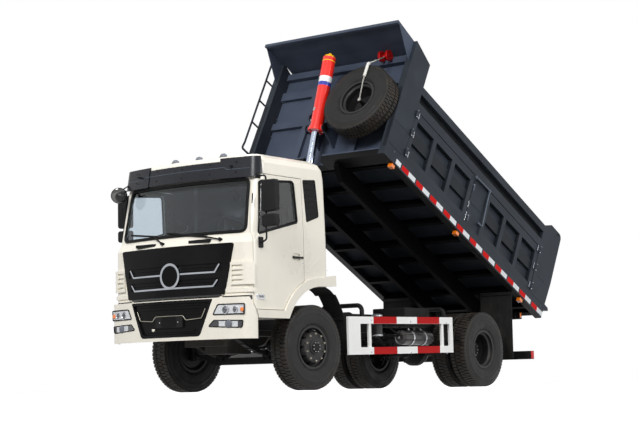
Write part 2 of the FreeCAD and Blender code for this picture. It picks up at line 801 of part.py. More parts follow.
def cab_shell():
    # Roof, back, floor, pillars and front skin, with the arches, doorways and windows cut out
    outer = cab_solid()
    inner = cab_sections(cab_wall, sill_bottom - 10, roof_top)
    above_floor = box(-600, 1600, -1300, 1300, floor_z + floor_plate, 3000)
    room = inner.common(above_floor)
    bay = inner.common(box(-600, 1600, -700, 700, 700, floor_z))
    shell = outer.cut(room).cut(bay)
    ears = []
    for side in (1, -1):
        low, high = sorted((side * (rail_inner_y - 20), side * (rail_inner_y - 2)))
        ear = prism([(cab_pivot_x - 120, floor_z + 5), (cab_pivot_x - 42, cab_pivot_z - 42, 40),
                     (cab_pivot_x + 42, cab_pivot_z - 42, 40), (cab_pivot_x + 55, floor_z + 5)], "xz", low, high)
        bore = bar(place(cab_pivot_x, low - 20, cab_pivot_z), place(cab_pivot_x, high + 20, cab_pivot_z),
                   20 + running_gap)
        ears.append(ear.cut(bore))
    well = box(590, bumper_end_low[0] - bumper_gap - 40, 745, cab_half - cab_wall, sill_bottom + 38, floor_z + floor_plate + 1)
    shell = shell.cut(well).cut(mirrored(well))
    nose_cut = prism([(1500, 700), (1500, skirt_bottom), (bumper_end_high[0] - bumper_gap, skirt_bottom),
                      (bumper_end_low[0] - bumper_gap, bumper_end_low[1]),
                      (bumper_end_low[0] - bumper_gap, 700)], "xz", -1300, 1300)
    band_top = arch_z + arch_radius
    shell = shell.cut(arch_tool(arch_radius, band_top, -1000))
    band_outer = arch_tool(arch_radius + flare_width, band_top + flare_width + 40, flare_rear)
    band_inner = arch_tool(arch_radius, band_top + 14, flare_rear - 10)
    band = band_outer.cut(band_inner)
    sill_band = box(arch_x + arch_radius - 140, 1150, -1500, 1500, sill_bottom, door_bottom - 10)
    band = band.fuse(sill_band.cut(arch_tool(arch_radius, band_top, -1000)))
    lane = box(-600, 1150, cab_half - cab_wall, cab_half + flare_proud, sill_bottom, 1600)
    flare = band.common(lane)
    shell = fused([shell, flare, mirrored(flare)]).cut(nose_cut)
    shell = fused([shell] + ears)
    deflector = corner_deflector()
    shell = fused([shell, deflector, mirrored(deflector)])
    doorway = door_prism(-panel_gap, door_reach, cab_half + 60)
    shell = shell.cut(doorway).cut(mirrored(doorway))
    shell = shell.cut(screen_tool(0))
    vent = prism(vent_points(0), "xz", cab_top_half - 30, cab_half + 30)
    return shell.cut(vent).cut(mirrored(vent))


def vent_points(gap):
    return [(205 - 45 - gap, 2590 - gap, 20), (-92 + gap, 2612 - gap, 20), (-132 + gap, 2150 + gap, 35),
            (120 - gap, 2068 + gap, 20)]


screen_low = 1905.0
screen_high = 2545.0
screen_low_half = 1000.0
screen_high_half = 962.0


def screen_tool(gap):
    # The windscreen's opening, seen from the front
    return prism([(-screen_low_half + gap, screen_low + gap, 70), (screen_low_half - gap, screen_low + gap, 70),
                  (screen_high_half - gap, screen_high - gap, 70),
                  (-screen_high_half + gap, screen_high - gap, 70)], "yz", 800, 1500)


def windscreen():
    outer = cab_sections(6, sill_bottom, roof_top)
    inner = cab_sections(6 + glass_thickness, sill_bottom, roof_top)
    sheet = outer.cut(inner)
    return sheet.common(screen_tool(seat_gap))


def quarter_vents():
    # Louvred plates behind the doors
    plate = cab_sections(4, sill_bottom, roof_top).cut(cab_sections(30, sill_bottom, roof_top))
    left = plate.common(prism(vent_points(seat_gap), "xz", 900, 1300))
    return both_sides(left)


def door(side):
    # Whole thickness of the door, with the window cut and a pull handle
    skin = cab_solid().cut(cab_sections(cab_wall, sill_bottom - 10, roof_top))
    leaf = skin.common(door_prism(0, door_reach, cab_half + 60))
    window = prism(door_window, "xz", 900, 1300)
    leaf = leaf.cut(window).cut(screen_tool(-panel_gap))
    leaf = leaf.common(box(-400, 1400, 900, 1300, 700, 3000))
    handle_z = 1622
    recess = prism([(265, handle_z - 45, 30), (410, handle_z - 45, 30), (410, handle_z + 45, 30),
                    (265, handle_z + 45, 30)], "xz", cab_half - 18, cab_half + 20)
    leaf = leaf.cut(recess)
    grip = prism([(238, handle_z - 14, 10), (400, handle_z - 14, 10), (400, handle_z + 14, 10),
                  (238, handle_z + 14, 10)], "xz", cab_half - 2, cab_half + 14)
    leaf = fused([leaf, grip])
    return leaf if side > 0 else mirrored(leaf)


def door_glass(side):
    outer = cab_sections(18, sill_bottom, roof_top)
    inner = cab_sections(18 + glass_thickness, sill_bottom, roof_top)
    shrunk = [(p[0] + (1 if p[0] < 700 else -1) * seat_gap, p[1] + (1 if p[1] < 2200 else -1) * seat_gap,
               p[2]) for p in door_window]
    pane = outer.cut(inner).common(prism(shrunk, "xz", 900, 1300))
    return pane if side > 0 else mirrored(pane)


def mirror_set(side):
    # Two rear-view glasses in rounded housings, on a tubular arm at the door's front edge
    y0, y1 = (1205.0, 1430.0) if side > 0 else (1158.0, 1372.0)
    front = 1108.0 if side > 0 else 905.0
    housings = []
    for low, high in ((2120, 2500), (1938, 2088)):
        shell = prism([(y0, low, 36), (y1, low, 36), (y1, high, 36), (y0, high, 36)], "yz", front - 80, front)
        edges = [e for e in shell.Edges if abs(e.CenterOfMass.x - front) < 1]
        housings.append(shell.makeFillet(24, edges))
    arm_y = cab_half + 62
    top = place(1040, cab_top_half + 12, 2560)
    arm_x = front - 52
    arm = pipe([top, place(arm_x, arm_y + 60, 2560), place(arm_x, arm_y + 60, 1790), place(1010, cab_half - 2, 1760)],
               11, 40)
    plate = prism([(985, 1700, 12), (1062, 1700, 12), (1062, 1830, 12), (985, 1830, 12)], "xz",
                  cab_half + seat_gap, cab_half + 14)
    top_plate = box(1005, 1070, cab_top_half - 2, cab_top_half + 26, 2535, 2585)
    arm = fused([arm, plate, top_plate] + housings).cut(cab_sections(-seat_gap, sill_bottom, roof_top))
    whole = group([s for s in arm.Solids if s.Volume > 20000])
    return whole if side > 0 else mirrored(whole)


visor_low = 2572.0
visor_high = 2818.0
visor_step = 588.0
dome_place = (1200.0, -1043.0, 2497.0)
dome_radius = 98.0


def convex_mirror():
    # Round mirror on two rods from the far end of the visor
    centre = place(*dome_place)
    facing = place(-0.82, 0.38, -0.42).normalize()
    shell = spun([(0, 0), (0, dome_radius), (-10, dome_radius), (-34, 84), (-56, 52), (-64, 0)], centre, facing)
    back = centre - facing * 50
    rods = [bar(back, place(x, y, 2640), 7) for x, y in ((1014, -1064), (1034, -1024))]
    return fused([shell] + rods)


def sun_visor():
    # A bowed valance over the windscreen, wrapped round both corners
    def ring(low, high, push_low, push_high):
        outer = Part.makeLoft([plan_wire(gutter_x + push_low, cab_top_half + 26, 700, 150, 20, low, 0),
                               plan_wire(gutter_x + push_high, cab_top_half + 8, 700, 150, 20, high, 0)],
                              True, True)
        return outer

    outer = ring(visor_low, visor_high, 58, 20)
    ends = ring(visor_low - 8, visor_high, 68, 30)
    ends = ends.cut(box(600, 1400, -visor_step, visor_step, 2500, 2900))
    outer = outer.cut(box(600, 1400, -visor_step, visor_step, visor_high - 38, 2900)).fuse(ends)
    inner = Part.makeLoft([plan_wire(gutter_x + 34, cab_top_half + 10, 700, 150, 20, 2560, 0),
                           plan_wire(gutter_x - 4, cab_top_half - 8, 700, 150, 20, 2830, 0)], True, True)
    band = outer.cut(inner).cut(box(600, gutter_x - 175, -1300, 1300, 2500, 2900))
    body = cab_sections(-seat_gap, sill_bottom, roof_top)
    over_door = prism([(700, 2500), (1062, 2500), (1022, door_top + moving_gap), (700, door_top + moving_gap)],
                      "xz", -1300, 1300)
    band = band.cut(body).cut(over_door)
    stays = []
    for y in (-760, 0, 760):
        stays.append(box(gutter_x - 170, gutter_x + 30, y - 15, y + 15, 2700, 2716))
    mirror = convex_mirror().cut(body)
    band = fused([band, max(mirror.Solids, key=lambda s: s.Volume)] + stays).cut(body)
    return group([s for s in band.Solids if s.Volume > 50000])


def roof_lamps():
    lamps = []
    for y in (-400, 0, 400):
        base = prism([(790, y - 55, 30), (880, y - 55, 30), (880, y + 55, 30), (790, y + 55, 30)], "xy",
                     roof_top + seat_gap, roof_top + 48)
        lamps.append(base)
    return group(lamps)


wiper_rest = ((714.0, 800.0, 60.0, 133.0), (-171.0, 622.0, 118.0, 166.0))
wiper_pivot_z = 1808.0
grip_offset = 300.0
grip_half = 165.0


def glass_face(y, z):
    # Front of the raked and bowed windscreen
    if z < belt_z:
        front = nose_x + (belt_x - nose_x) * (z - cowl_low) / (belt_z - cowl_low)
    else:
        front = belt_x + (gutter_x - belt_x) * (z - belt_z) / (gutter_z - belt_z)
    return front - y * y / (2 * front_radius)


def wipers():
    # Two arms along the foot of the screen with their blades, and two hand grips below it
    parts = []
    for y, reach, elbow_rise, rise in wiper_rest:
        base = place(glass_face(y, wiper_pivot_z) - 4, y, wiper_pivot_z)
        hub = bar(base - place(14, 0, 0), base + place(40, 0, 12), 20)
        elbow_y, elbow_z = y - reach * 0.32, wiper_pivot_z + elbow_rise
        tip_y, tip_z = y - reach, wiper_pivot_z + rise
        elbow = place(glass_face(elbow_y, elbow_z) + 34, elbow_y, elbow_z)
        tip = place(glass_face(tip_y, tip_z) + 24, tip_y, tip_z)
        arm = pipe([base + place(30, 0, 8), elbow, tip], 9, 50)
        near = place(glass_face(elbow_y + 40, elbow_z - 6) + 16, elbow_y + 40, elbow_z - 6)
        far = place(glass_face(tip_y - 60, tip_z + 4) + 16, tip_y - 60, tip_z + 4)
        parts.append(fused([hub, arm, bar(near, far, 12)]))
        grip_y = y - grip_offset
        nose = glass_face(grip_y, wiper_pivot_z)
        parts.append(prism([(nose - 40, grip_y - grip_half), (nose + 34, grip_y - grip_half, 18),
                            (nose + 34, grip_y + grip_half, 18), (nose - 40, grip_y + grip_half)],
                           "xy", 1792, 1826))
    body = cab_sections(-seat_gap, sill_bottom, roof_top)
    cut = [p.cut(body) for p in parts]
    return group([max(p.Solids, key=lambda s: s.Volume) for p in cut])


def seats():
    # Two padded seats on boxes, on the cab's floor
    parts = []
    floor = floor_z + floor_plate + seat_gap
    for y in (520, -520):
        parts.append(box(150, 520, y - 190, y + 190, floor, floor + 240))
        parts.append(prism([(90, floor + 240 + seat_gap, 30), (620, floor + 240 + seat_gap, 30),
                            (620, floor + 370, 40), (90, floor + 370, 40)], "xz", y - 250, y + 250))
        back = prism([(60, floor + 370 + seat_gap, 30), (180, floor + 370 + seat_gap, 30),
                      (60, floor + 1020, 50), (-60, floor + 1020, 50)], "xz", y - 240, y + 240)
        parts.append(back)
    return group(parts)


dash_half = 955.0


def dashboard():
    # Dash, steering column and wheel in front of the left seat
    inner = cab_sections(cab_wall + seat_gap, floor_z + floor_plate + seat_gap, roof_top)
    dash = inner.common(prism([(860, 1500, 60), (1400, 1500), (1400, 1905), (1150, 1905, 80), (900, 1800, 60)],
                              "xz", -dash_half, dash_half))
    foot = inner.common(box(1150, 1400, -300, 300, floor_z, 1520))
    column = bar(place(950, 520, 1815), place(800, 520, 1950), 32)
    hub = place(800, 520, 1955)
    tilt = (place(-170, 0, 150)).normalize()
    ring = Part.makeTorus(225, 15, hub, tilt)
    spokes = [turned(bar(hub, hub + place(0, 222, 0), 11), hub, tilt, a) for a in (0, 90, 180, 270)]
    boss = Part.makeCylinder(45, 30, hub - tilt * 20, tilt)
    return fused([dash, foot, column, ring, boss] + spokes)


# Front lid, bumper and lamps

def front_skin(inner_grow, outer_grow, low, high):
    outer = Part.makeLoft([plan_wire(nose_x, cab_half, 800, 150, 20, z, outer_grow) for z in (low, high)],
                          True, True)
    inner = Part.makeLoft([plan_wire(nose_x, cab_half, 800, 150, 20, z, inner_grow)
                           for z in (low - 1, high + 1)], True, True)
    return outer.cut(inner)


lid_top = 1765.0
lid_bottom = 1152.0
lid_top_half = 912.0
lid_bottom_half = 782.0


def grille_panel():
    # Black lid between windscreen and bumper, with two sunk louvre bands
    skin = front_skin(seat_gap, 28, lid_bottom, lid_top)
    face = prism([(-lid_top_half, lid_top - 1, 25), (-lid_bottom_half, lid_bottom + 1, 25),
                  (lid_bottom_half, lid_bottom + 1, 25), (lid_top_half, lid_top - 1, 25)], "yz", 900, 1500)
    panel = skin.common(face)
    for low, high, half in ((1425, 1530, 770), (1255, 1350, 720)):
        band = front_skin(14, 60, low, high).common(box(900, 1600, -half, half, low, high))
        panel = panel.cut(band)
        slats = []
        for i in range(2):
            z = low + (i + 1) * (high - low) / 3
            slat = front_skin(13, 24, z - 8, z + 8).common(box(900, 1600, -half - 2, half + 2, z - 8, z + 8))
            slats.append(slat)
        panel = fused([panel] + slats)
    return panel


def front_bar(points, proud_in, proud_out, nose_push=0.0):
    # A strip that follows the bowed front, given by its outline seen from the front
    face = prism(points, "yz", 1000, 1700)
    z_low = min(p[1] for p in points) - 2
    z_high = max(p[1] for p in points) + 2
    outer = Part.makeLoft([plan_wire(nose_x + nose_push, cab_half, 800, 150, 20, z, proud_out)
                           for z in (z_low, z_high)], True, True)
    inner = Part.makeLoft([plan_wire(nose_x + nose_push, cab_half, 800, 150, 20, z, proud_in)
                           for z in (z_low - 1, z_high + 1)], True, True)
    return outer.cut(inner).common(face)


def grille_trim():
    # Two bright strips with upturned ends and a plain round disc between them
    parts = []
    for top, low, half, inner_half in ((1520, 1413, 745, 672), (1333, 1246, 718, 650)):
        width = 20
        strip = [(-half, top, 6), (-inner_half, low, 18), (inner_half, low, 18), (half, top, 6),
                 (half - 22, top, 6), (inner_half - 10, low + width, 14), (-inner_half + 10, low + width, 14),
                 (-half + 22, top, 6)]
        parts.append(front_bar(strip, 28.3, 36))
    disc = bar(place(nose_x, 0, 1405), place(nose_x + 44, 0, 1405), 158)
    body = front_skin(0, 28.3, 1200, 1600)
    disc = disc.cut(body).cut(Part.makeLoft([plan_wire(nose_x, cab_half, 800, 150, 20, z, 28.3)
                                             for z in (1150, 1650)], True, True))
    hollow = bar(place(nose_x + 36, 0, 1405), place(nose_x + 60, 0, 1405), 128)
    return fused(parts + [disc.cut(hollow)])


def front_bumper():
    outer = Part.makeLoft([plan_wire(bumper_x, bumper_half, 700, bumper_corner, 20, z) for z in
                           (bumper_bottom, bumper_top)], True, True)
    inner = Part.makeLoft([plan_wire(bumper_x, bumper_half, 700, bumper_corner, 20, z, -bumper_wall) for z in
                           (bumper_bottom - 1, bumper_top - 30)], True, True)
    shell = outer.cut(inner)
    side_cut = prism([(600, 500), (bumper_end_low[0], 500), bumper_end_low, bumper_end_high,
                      (bumper_end_high[0], 1200), (600, 1200)], "xz", -1300, 1300)
    top_cut = Part.makeLoft([plan_wire(bumper_x, bumper_half, 700, bumper_corner, 20, z, -90) for z in
                             (bumper_top - 60, bumper_top + 10)], True, True)
    shell = shell.cut(side_cut).cut(top_cut)
    shell = shell.cut(prism(lower_grille_points(0), "yz", 1000, 1700))
    for points in (headlamp_points(0), fog_points(0)):
        tool = prism(points, "yz", 900, 1700).common(box(900, 1700, 0, 1300, 600, 1200))
        shell = shell.cut(tool).cut(mirrored(tool))
    seat = skirt_bottom - seat_gap
    arm = prism([(1232, seat), (1232, 1050), (1345, 1050), (1345, 1088), (1290, 1088), (1290, seat)],
                "xz", 703, 743)
    return fused([shell, arm, mirrored(arm)])


def lower_grille_points(gap):
    return [(-664 + gap, 1104 - gap, 12), (-478 + gap, 664 + gap, 60), (478 - gap, 664 + gap, 60),
            (664 - gap, 1104 - gap, 12)]


def headlamp_points(gap):
    return [(664 + gap, 910 + gap, 15), (730 + gap * 0.5, 1036 - gap, 40), (1086 - gap, 1034 - gap, 14),
            (1078 - gap, 908 + gap, 14)]


def fog_points(gap):
    return [(594 + gap, 770 + gap, 18), (672 + gap, 850 - gap, 18), (1062 - gap, 838 - gap, 14),
            (1050 - gap, 748 + gap, 30)]


def bumper_band(inner_grow, outer_grow, points):
    low = min(p[1] for p in points) - 2
    high = max(p[1] for p in points) + 2
    outer = Part.makeLoft([plan_wire(bumper_x, bumper_half, 700, bumper_corner, 20, z, outer_grow)
                           for z in (low, high)], True, True)
    inner = Part.makeLoft([plan_wire(bumper_x, bumper_half, 700, bumper_corner, 20, z, inner_grow)
                           for z in (low - 1, high + 1)], True, True)
    return outer.cut(inner).common(prism(points, "yz", 900, 1700))


def bumper_grille():
    # Sunk black intake with a frame, cross bars and a blank number-plate panel
    plate = bumper_band(-30, -20, lower_grille_points(seat_gap))
    rim = bumper_band(-30, 3, lower_grille_points(seat_gap)).cut(bumper_band(-40, 20, lower_grille_points(34)))
    parts = [plate, rim]
    for z in (740, 1010, 1050):
        half = 400 if z < 900 else 560
        parts.append(bumper_band(-25, -8, [(-half, z - 8), (-half, z + 8), (half, z + 8), (half, z - 8)]))
    parts.append(bumper_band(-25, -2, [(-235, 780), (-235, 915), (235, 915), (235, 780)]))
    return fused(parts)


def headlamps():
    lamp = bumper_band(-26, 2, headlamp_points(seat_gap)).common(box(900, 1700, 0, 1300, 600, 1200))
    fog = bumper_band(-26, 0, fog_points(seat_gap)).common(box(900, 1700, 0, 1300, 600, 1200))
    return group([lamp, fog, mirrored(lamp), mirrored(fog)])


# Bed, drawn level and then tipped

def gate_spans():
    front_edge = bed_length - front_post_width - gate_gap
    return {"front": (mid_panel_front + gate_gap, front_edge),
            "rear": (rear_post_width + gate_gap, mid_panel_rear - gate_gap)}


gate_low = sill_height + 5
gate_high = rail_beam_low - 8


def side_frame():
    # Posts, sill, upper beams and the fixed panel between the two gates
    inner = bed_half - bed_wall
    profile = [(0, 0), (bed_length, 0), (bed_length, front_post_height),
               (bed_length - front_post_width, front_post_height - 120),
               (bed_length - front_post_width, bed_side_height), (rear_post_width, bed_side_height),
               (rear_post_width - 175, rear_post_height, 60), (rear_post_back, rear_post_height, 75),
               (rear_post_back, rear_post_height * 0.42), (rear_post_back + 30, 240), (-hook_reach, 236, 6),
               (-hook_reach - 26, 196, 6), (0, 140, 20)]
    side = prism(profile, "xz", inner, bed_half)
    for low, high in gate_spans().values():
        side = side.cut(box(low - gate_gap, high + gate_gap, inner - 10, bed_half + 10, gate_low - 5, gate_high + 8))
    channel = box(rear_post_width, bed_length - front_post_width, bed_half - channel_depth, bed_half + 10,
                  channel_low, channel_high)
    side = side.cut(channel)
    u, v = tail_hinge()
    side = side.cut(bar(place(u, inner - 10, v), place(u, bed_half + 10, v), tail_pin + running_gap))
    for low, high in ((mid_panel_rear, mid_panel_front),):
        side = side.cut(box(low + 6, high - 6, bed_half - 20, bed_half + 10, gate_low, gate_high))
    return side


def bed_sides():
    left = side_frame()
    return in_bed(group([left, mirrored(left)]))


def side_gate(which, side):
    # A framed gate with sunk cells, hinged on its post
    low, high = gate_spans()[which]
    inner = bed_half - bed_wall
    face = bed_half - 4
    leaf = box(low, high, inner + 2, face, gate_low, gate_high)
    columns = 3
    width = (high - low - 2 * gate_stile - (columns - 1) * gate_rib) / columns
    rows = ((cell_low, mid_rail_low), (mid_rail_high, cell_high))
    for i in range(columns):
        u0 = low + gate_stile + i * (width + gate_rib)
        leaf = leaf.cut(box(u0, u0 + width, face - mid_rail_sunk, face + 10, cell_low, cell_high))
        for v0, v1 in rows:
            leaf = leaf.cut(box(u0, u0 + width, face - cell_depth, face + 10, v0, v1))
    hinge_u, hinge_y = gate_hinge(which)
    knuckles = []
    for v in (290, 610, 915):
        knuckles.append(bar(place(hinge_u, hinge_y, v - 45), place(hinge_u, hinge_y, v + 45), hinge_radius))
        near = low if which == "rear" else high
        inside = near + 34 if which == "rear" else near - 34
        knuckles.append(box(min(hinge_u, inside), max(hinge_u, inside), face - 2, hinge_y, v - 38, v + 38))
    leaf = fused([leaf] + knuckles)
    if side < 0:
        leaf = mirrored(leaf)
    return in_bed(leaf)


def gate_hinge(which):
    post_edge = rear_post_width if which == "rear" else bed_length - front_post_width
    return post_edge, bed_half + hinge_radius + 5


def side_lamps():
    # Amber lamps under the side beams
    lamps = []
    for u in side_lamp_u:
        lamps.append(prism([(u - 36, -54, 8), (u + 36, -54, 8), (u + 36, -seat_gap), (u - 36, -seat_gap)],
                           "xz", bed_half - 74, bed_half - 12))
    return in_bed(both_sides(group(lamps)))


def bed_floor():
    # Floor sheet on cross-members, carried by the two runners that turn on the hinge
    inner = bed_half - bed_wall - seat_gap
    sheet = box(tail_thickness + 12, front_wall_u - seat_gap, -inner, inner, floor_level, floor_level + floor_sheet)
    parts = [sheet]
    count = 9
    for i in range(count):
        u = 330 + i * (front_wall_u - 400) / (count - 1)
        parts.append(box(u - 30, u + 30, -inner, inner, 0, floor_level))
    outer_y = rail_outer_y
    low_y = rail_outer_y - runner_width
    wall_end = front_wall_u - 20
    runner = prism([(180, 40), (180, -20), (400, -150), (490, -runner_depth), (bed_length - 260, -runner_depth),
                    (bed_length - 80, -60), (bed_length - 80, -seat_gap), (wall_end, -seat_gap),
                    (wall_end, 40)], "xz", low_y, outer_y)
    boss = bar(place(pivot_u, low_y, pivot_v), place(pivot_u, outer_y, pivot_v), 62)
    bore = bar(place(pivot_u, low_y - 50, pivot_v), place(pivot_u, outer_y + 50, pivot_v),
               pivot_radius + running_gap)
    runner = fused([runner, boss]).cut(bore)
    parts += [runner, mirrored(runner)]
    parts.append(box(tail_thickness + 12, tail_thickness + 90, -inner, inner, 0, floor_level))
    return in_bed(fused(parts))


tail_thickness = 92.0
tail_pin = 20.0


wall_ribs = ((787.0, 898.0), (1300.0, 1443.0))
wall_rib_depth = 62.0
top_rib_depth = 80.0
upright_y = 535.0
upright_width = 95.0


def bed_front_wall():
    # Front sheet with ribs, and the canopy that reaches forward over the cab
    inner = bed_half - bed_wall - seat_gap
    sheet = box(front_wall_u, front_wall_u + front_sheet, -inner, inner, 0, front_post_height - 20)
    parts = [sheet]
    for low_v, high_v in wall_ribs:
        parts.append(box(front_wall_u, front_wall_u + wall_rib_depth, -inner, inner, low_v, high_v))
    for side in (1, -1):
        near, far = sorted((side * upright_y, side * (upright_y - upright_width)))
        parts.append(box(front_wall_u, front_wall_u + wall_rib_depth, near, far, 60, front_post_height - 150))
    for side in (1, -1):
        low, high = sorted((side * 150, side * inner))
        parts.append(box(front_wall_u, bed_length - 6, low, high, 0, 110))
    parts.append(box(front_wall_u, front_wall_u + top_rib_depth, -inner, inner, front_post_height - 200,
                     front_post_height - 90))
    top = [(front_wall_u, front_post_height - 28), (bed_length, front_post_height + seat_gap),
           (bed_length + canopy_reach, front_post_height + canopy_rise),
           (bed_length + canopy_reach, front_post_height + canopy_rise - 46),
           (bed_length + canopy_reach - 40, front_post_height + canopy_rise - 46),
           (bed_length + canopy_reach - 40, front_post_height + canopy_rise - 12),
           (bed_length - 2, front_post_height - 12), (front_wall_u, front_post_height - 40)]
    roof = prism(top, "xz", -inner, inner)
    wide = prism([(bed_length + 4, front_post_height + seat_gap),
                  (bed_length + canopy_reach, front_post_height + canopy_rise),
                  (bed_length + canopy_reach, front_post_height + canopy_rise - 46),
                  (bed_length + canopy_reach - 40, front_post_height + canopy_rise - 46),
                  (bed_length + canopy_reach - 40, front_post_height + canopy_rise - 12),
                  (bed_length + 4, front_post_height - 12)], "xz", -canopy_half, canopy_half)
    parts += [roof, wide]
    for side in (1, -1):
        gusset = prism([(bed_length + 4, front_post_height - 330), (bed_length + 4, front_post_height - 10),
                        (bed_length + canopy_reach - 20, front_post_height + canopy_rise - 14)], "xz",
                       canopy_half - 8, canopy_half)
        parts.append(gusset if side > 0 else mirrored(gusset))
    cheek = prism([(front_wall_u, trunnion_v - 150), (trunnion_u - 30, trunnion_v - 45),
                   (trunnion_u + 40, trunnion_v - 45, 25), (trunnion_u + 40, trunnion_v + 45, 25),
                   (trunnion_u - 30, trunnion_v + 45), (front_wall_u, trunnion_v + 150)], "xz",
                  ram_tube_radius + 26, ram_tube_radius + 44)
    bore = bar(place(trunnion_u, ram_tube_radius + 10, trunnion_v),
               place(trunnion_u, ram_tube_radius + 60, trunnion_v), ram_pin_radius + running_gap)
    cheek = cheek.cut(bore)
    parts += [cheek, mirrored(cheek)]
    return in_bed(fused(parts))


def tail_hinge():
    return tail_thickness / 2, rear_post_height - 30


def tailgate():
    # Rear gate hung from its top edge, with a rib frame outside
    half = bed_half - bed_wall - 8
    top = bed_side_height - 20
    leaf = box(0, tail_thickness, -half, half, 52, top)
    for i in range(5):
        width = (2 * half - 6 * 80) / 5
        y0 = -half + 80 + i * (width + 80)
        for v0, v1 in ((150, 640), (730, 1215)):
            leaf = leaf.cut(box(-10, 58, y0, y0 + width, v0, v1))
    u, v = tail_hinge()
    ears = []
    for side in (1, -1):
        ear = prism([(u - 36, top - 20), (u + 36, top - 20), (u + 36, v + 30, 28), (u - 36, v + 30, 28)], "xz",
                    half - 30, half - 4)
        pin = bar(place(u, half - 20, v), place(u, bed_half + 12, v), tail_pin)
        piece = fused([ear, pin])
        ears.append(piece if side > 0 else mirrored(piece))
    return in_bed(fused([leaf] + ears))


def spare_centre():
    return spare_u, spare_y, spare_v


spare_u = 4634.0
spare_y = 680.0
spare_v = 815.0


def spare_tyre():
    shape = tyre(place(0, 0, 0), 1)
    shape.rotate(place(0, 0, 0), place(0, 0, 1), -90)
    shape.translate(place(spare_u, spare_y, spare_v))
    return in_bed(shape)


def spare_rim():
    # Dished disc facing back, on the carrier that stands off the front wall
    centre = place(0, 0, 0)
    out = place(0, 1, 0)
    rim = rim_radius
    disc = spun([(-20, rim - 36), (-32, rim - 40), (-100, 196), (-128, 186), (-128, 90), (-142, 90),
                 (-142, 196), (-108, 210), (-44, rim - 30), (-20, rim - 26)], centre, out)
    body = fused([rim_barrel(centre), disc])
    body.rotate(centre, place(0, 0, 1), -90)
    body.translate(place(spare_u, spare_y, spare_v))
    wall = front_wall_u + wall_rib_depth + seat_gap
    arms = [box(wall, spare_u - 132, spare_y - 130, spare_y + 130, v - 40, v + 40)
            for v in (spare_v - 110, spare_v + 110)]
    arms.append(box(wall, spare_u - 200, spare_y - 60, spare_y + 60, spare_v - 120, spare_v + 120))
    stem = bar(place(wall, spare_y, spare_v), place(spare_u + 40, spare_y, spare_v), 26)
    return in_bed(fused([body, stem] + arms))


pulley_v = 1730.0
pulley_u = 4440.0
rope_radius = 9.0


def spare_hoist():
    # Two pulleys under the canopy and the taut rope that holds the wheel
    hub = place(pulley_u, spare_y, pulley_v)
    wheels = []
    for dy in (-58, 62):
        c = hub + place(0, dy, 0)
        wheels.append(spun([(-16, 0), (-16, 76), (-5, 60), (5, 60), (16, 76), (16, 0)], c, place(0, 1, 0)))
    axle = bar(hub - place(0, 80, 0), hub + place(0, 84, 0), 12)
    wall = front_wall_u + top_rib_depth + seat_gap
    hanger = box(wall, pulley_u + 12, spare_y - 6, spare_y + 6, pulley_v - 14, pulley_v + 14)
    stem_end = spare_u + 40 + seat_gap
    hook = box(stem_end, stem_end + 16, spare_y - 18, spare_y + 22, spare_v - 16, spare_v + 26)
    face = spare_u + tyre_width / 2 + rope_radius + seat_gap
    over = spare_v + tyre_radius
    rope = pipe([place(pulley_u + 40, spare_y + 44, pulley_v - 50), place(face - 12, spare_y + 50, over + 16),
                 place(face + 6, spare_y + 60, spare_v + 370), place(face + 6, spare_y + 60, spare_v + 240),
                 place(spare_u + 50, spare_y + 4, spare_v + 9)], rope_radius, 22)
    rope = rope.cut(box(spare_u - 40, stem_end, spare_y - 60, spare_y + 80, spare_v - 60, spare_v + 60))
    return in_bed(fused(wheels + [axle, hanger, hook, rope]))


ladder_low = 297.0
ladder_high = 1790.0
ladder_reach = 131.0
ladder_set_back = 70.0
ladder_tube = 15.0


def ladder():
    # Stands on the far front post's outer face, its outer rail ahead of the post
    y = -bed_half - ladder_tube - seat_gap
    near, far = bed_length - ladder_set_back, bed_length + ladder_reach
    kick = ladder_low + 110
    loop = [place(near, y, ladder_high - 60), place(near, y, ladder_high), place(far, y, ladder_high),
            place(far, y, kick), place(far + 16, y, ladder_low), place(near, y, ladder_low)]
    rail = pipe(loop[1:], ladder_tube, 30)
    stile = bar(place(near, y, ladder_low), place(near, y, ladder_high), ladder_tube)
    rungs = [bar(place(near, y, v), place(far, y, v), ladder_tube - 2) for v in (1483, 1131, 758)]
    return in_bed(fused([rail, stile] + rungs))


# Ram

def ram_line():
    top = bed_point(trunnion_u, 0, trunnion_v)
    foot = place(ram_pin_x, 0, ram_pin_z)
    along = foot - top
    length = along.Length
    along.normalize()
    return top, along, length


def ram_tube():
    top, along, length = ram_line()
    up = along * -1
    r = ram_tube_radius
    inner = ram_radii[0] + running_gap * 8
    body = spun([(-ram_below, inner), (-ram_below, r + 14), (-ram_below + 60, r + 14), (-ram_below + 70, r),
                 (ram_above - 60, r), (ram_above - 52, r + 2), (ram_above - 20, r - 20), (ram_above, 30),
                 (ram_above + 14, 28), (ram_above + 14, 0), (ram_above - 50, 0), (ram_above - 50, inner)],
                top, up)
    trunnions = []
    for side in (1, -1):
        start = top + place(0, side * (r - 4), 0)
        trunnions.append(bar(start, top + place(0, side * (ram_tube_radius + 52), 0), ram_pin_radius))
        trunnions.append(bar(start, top + place(0, side * (ram_tube_radius + 20), 0), 44))
    return fused([body] + trunnions)


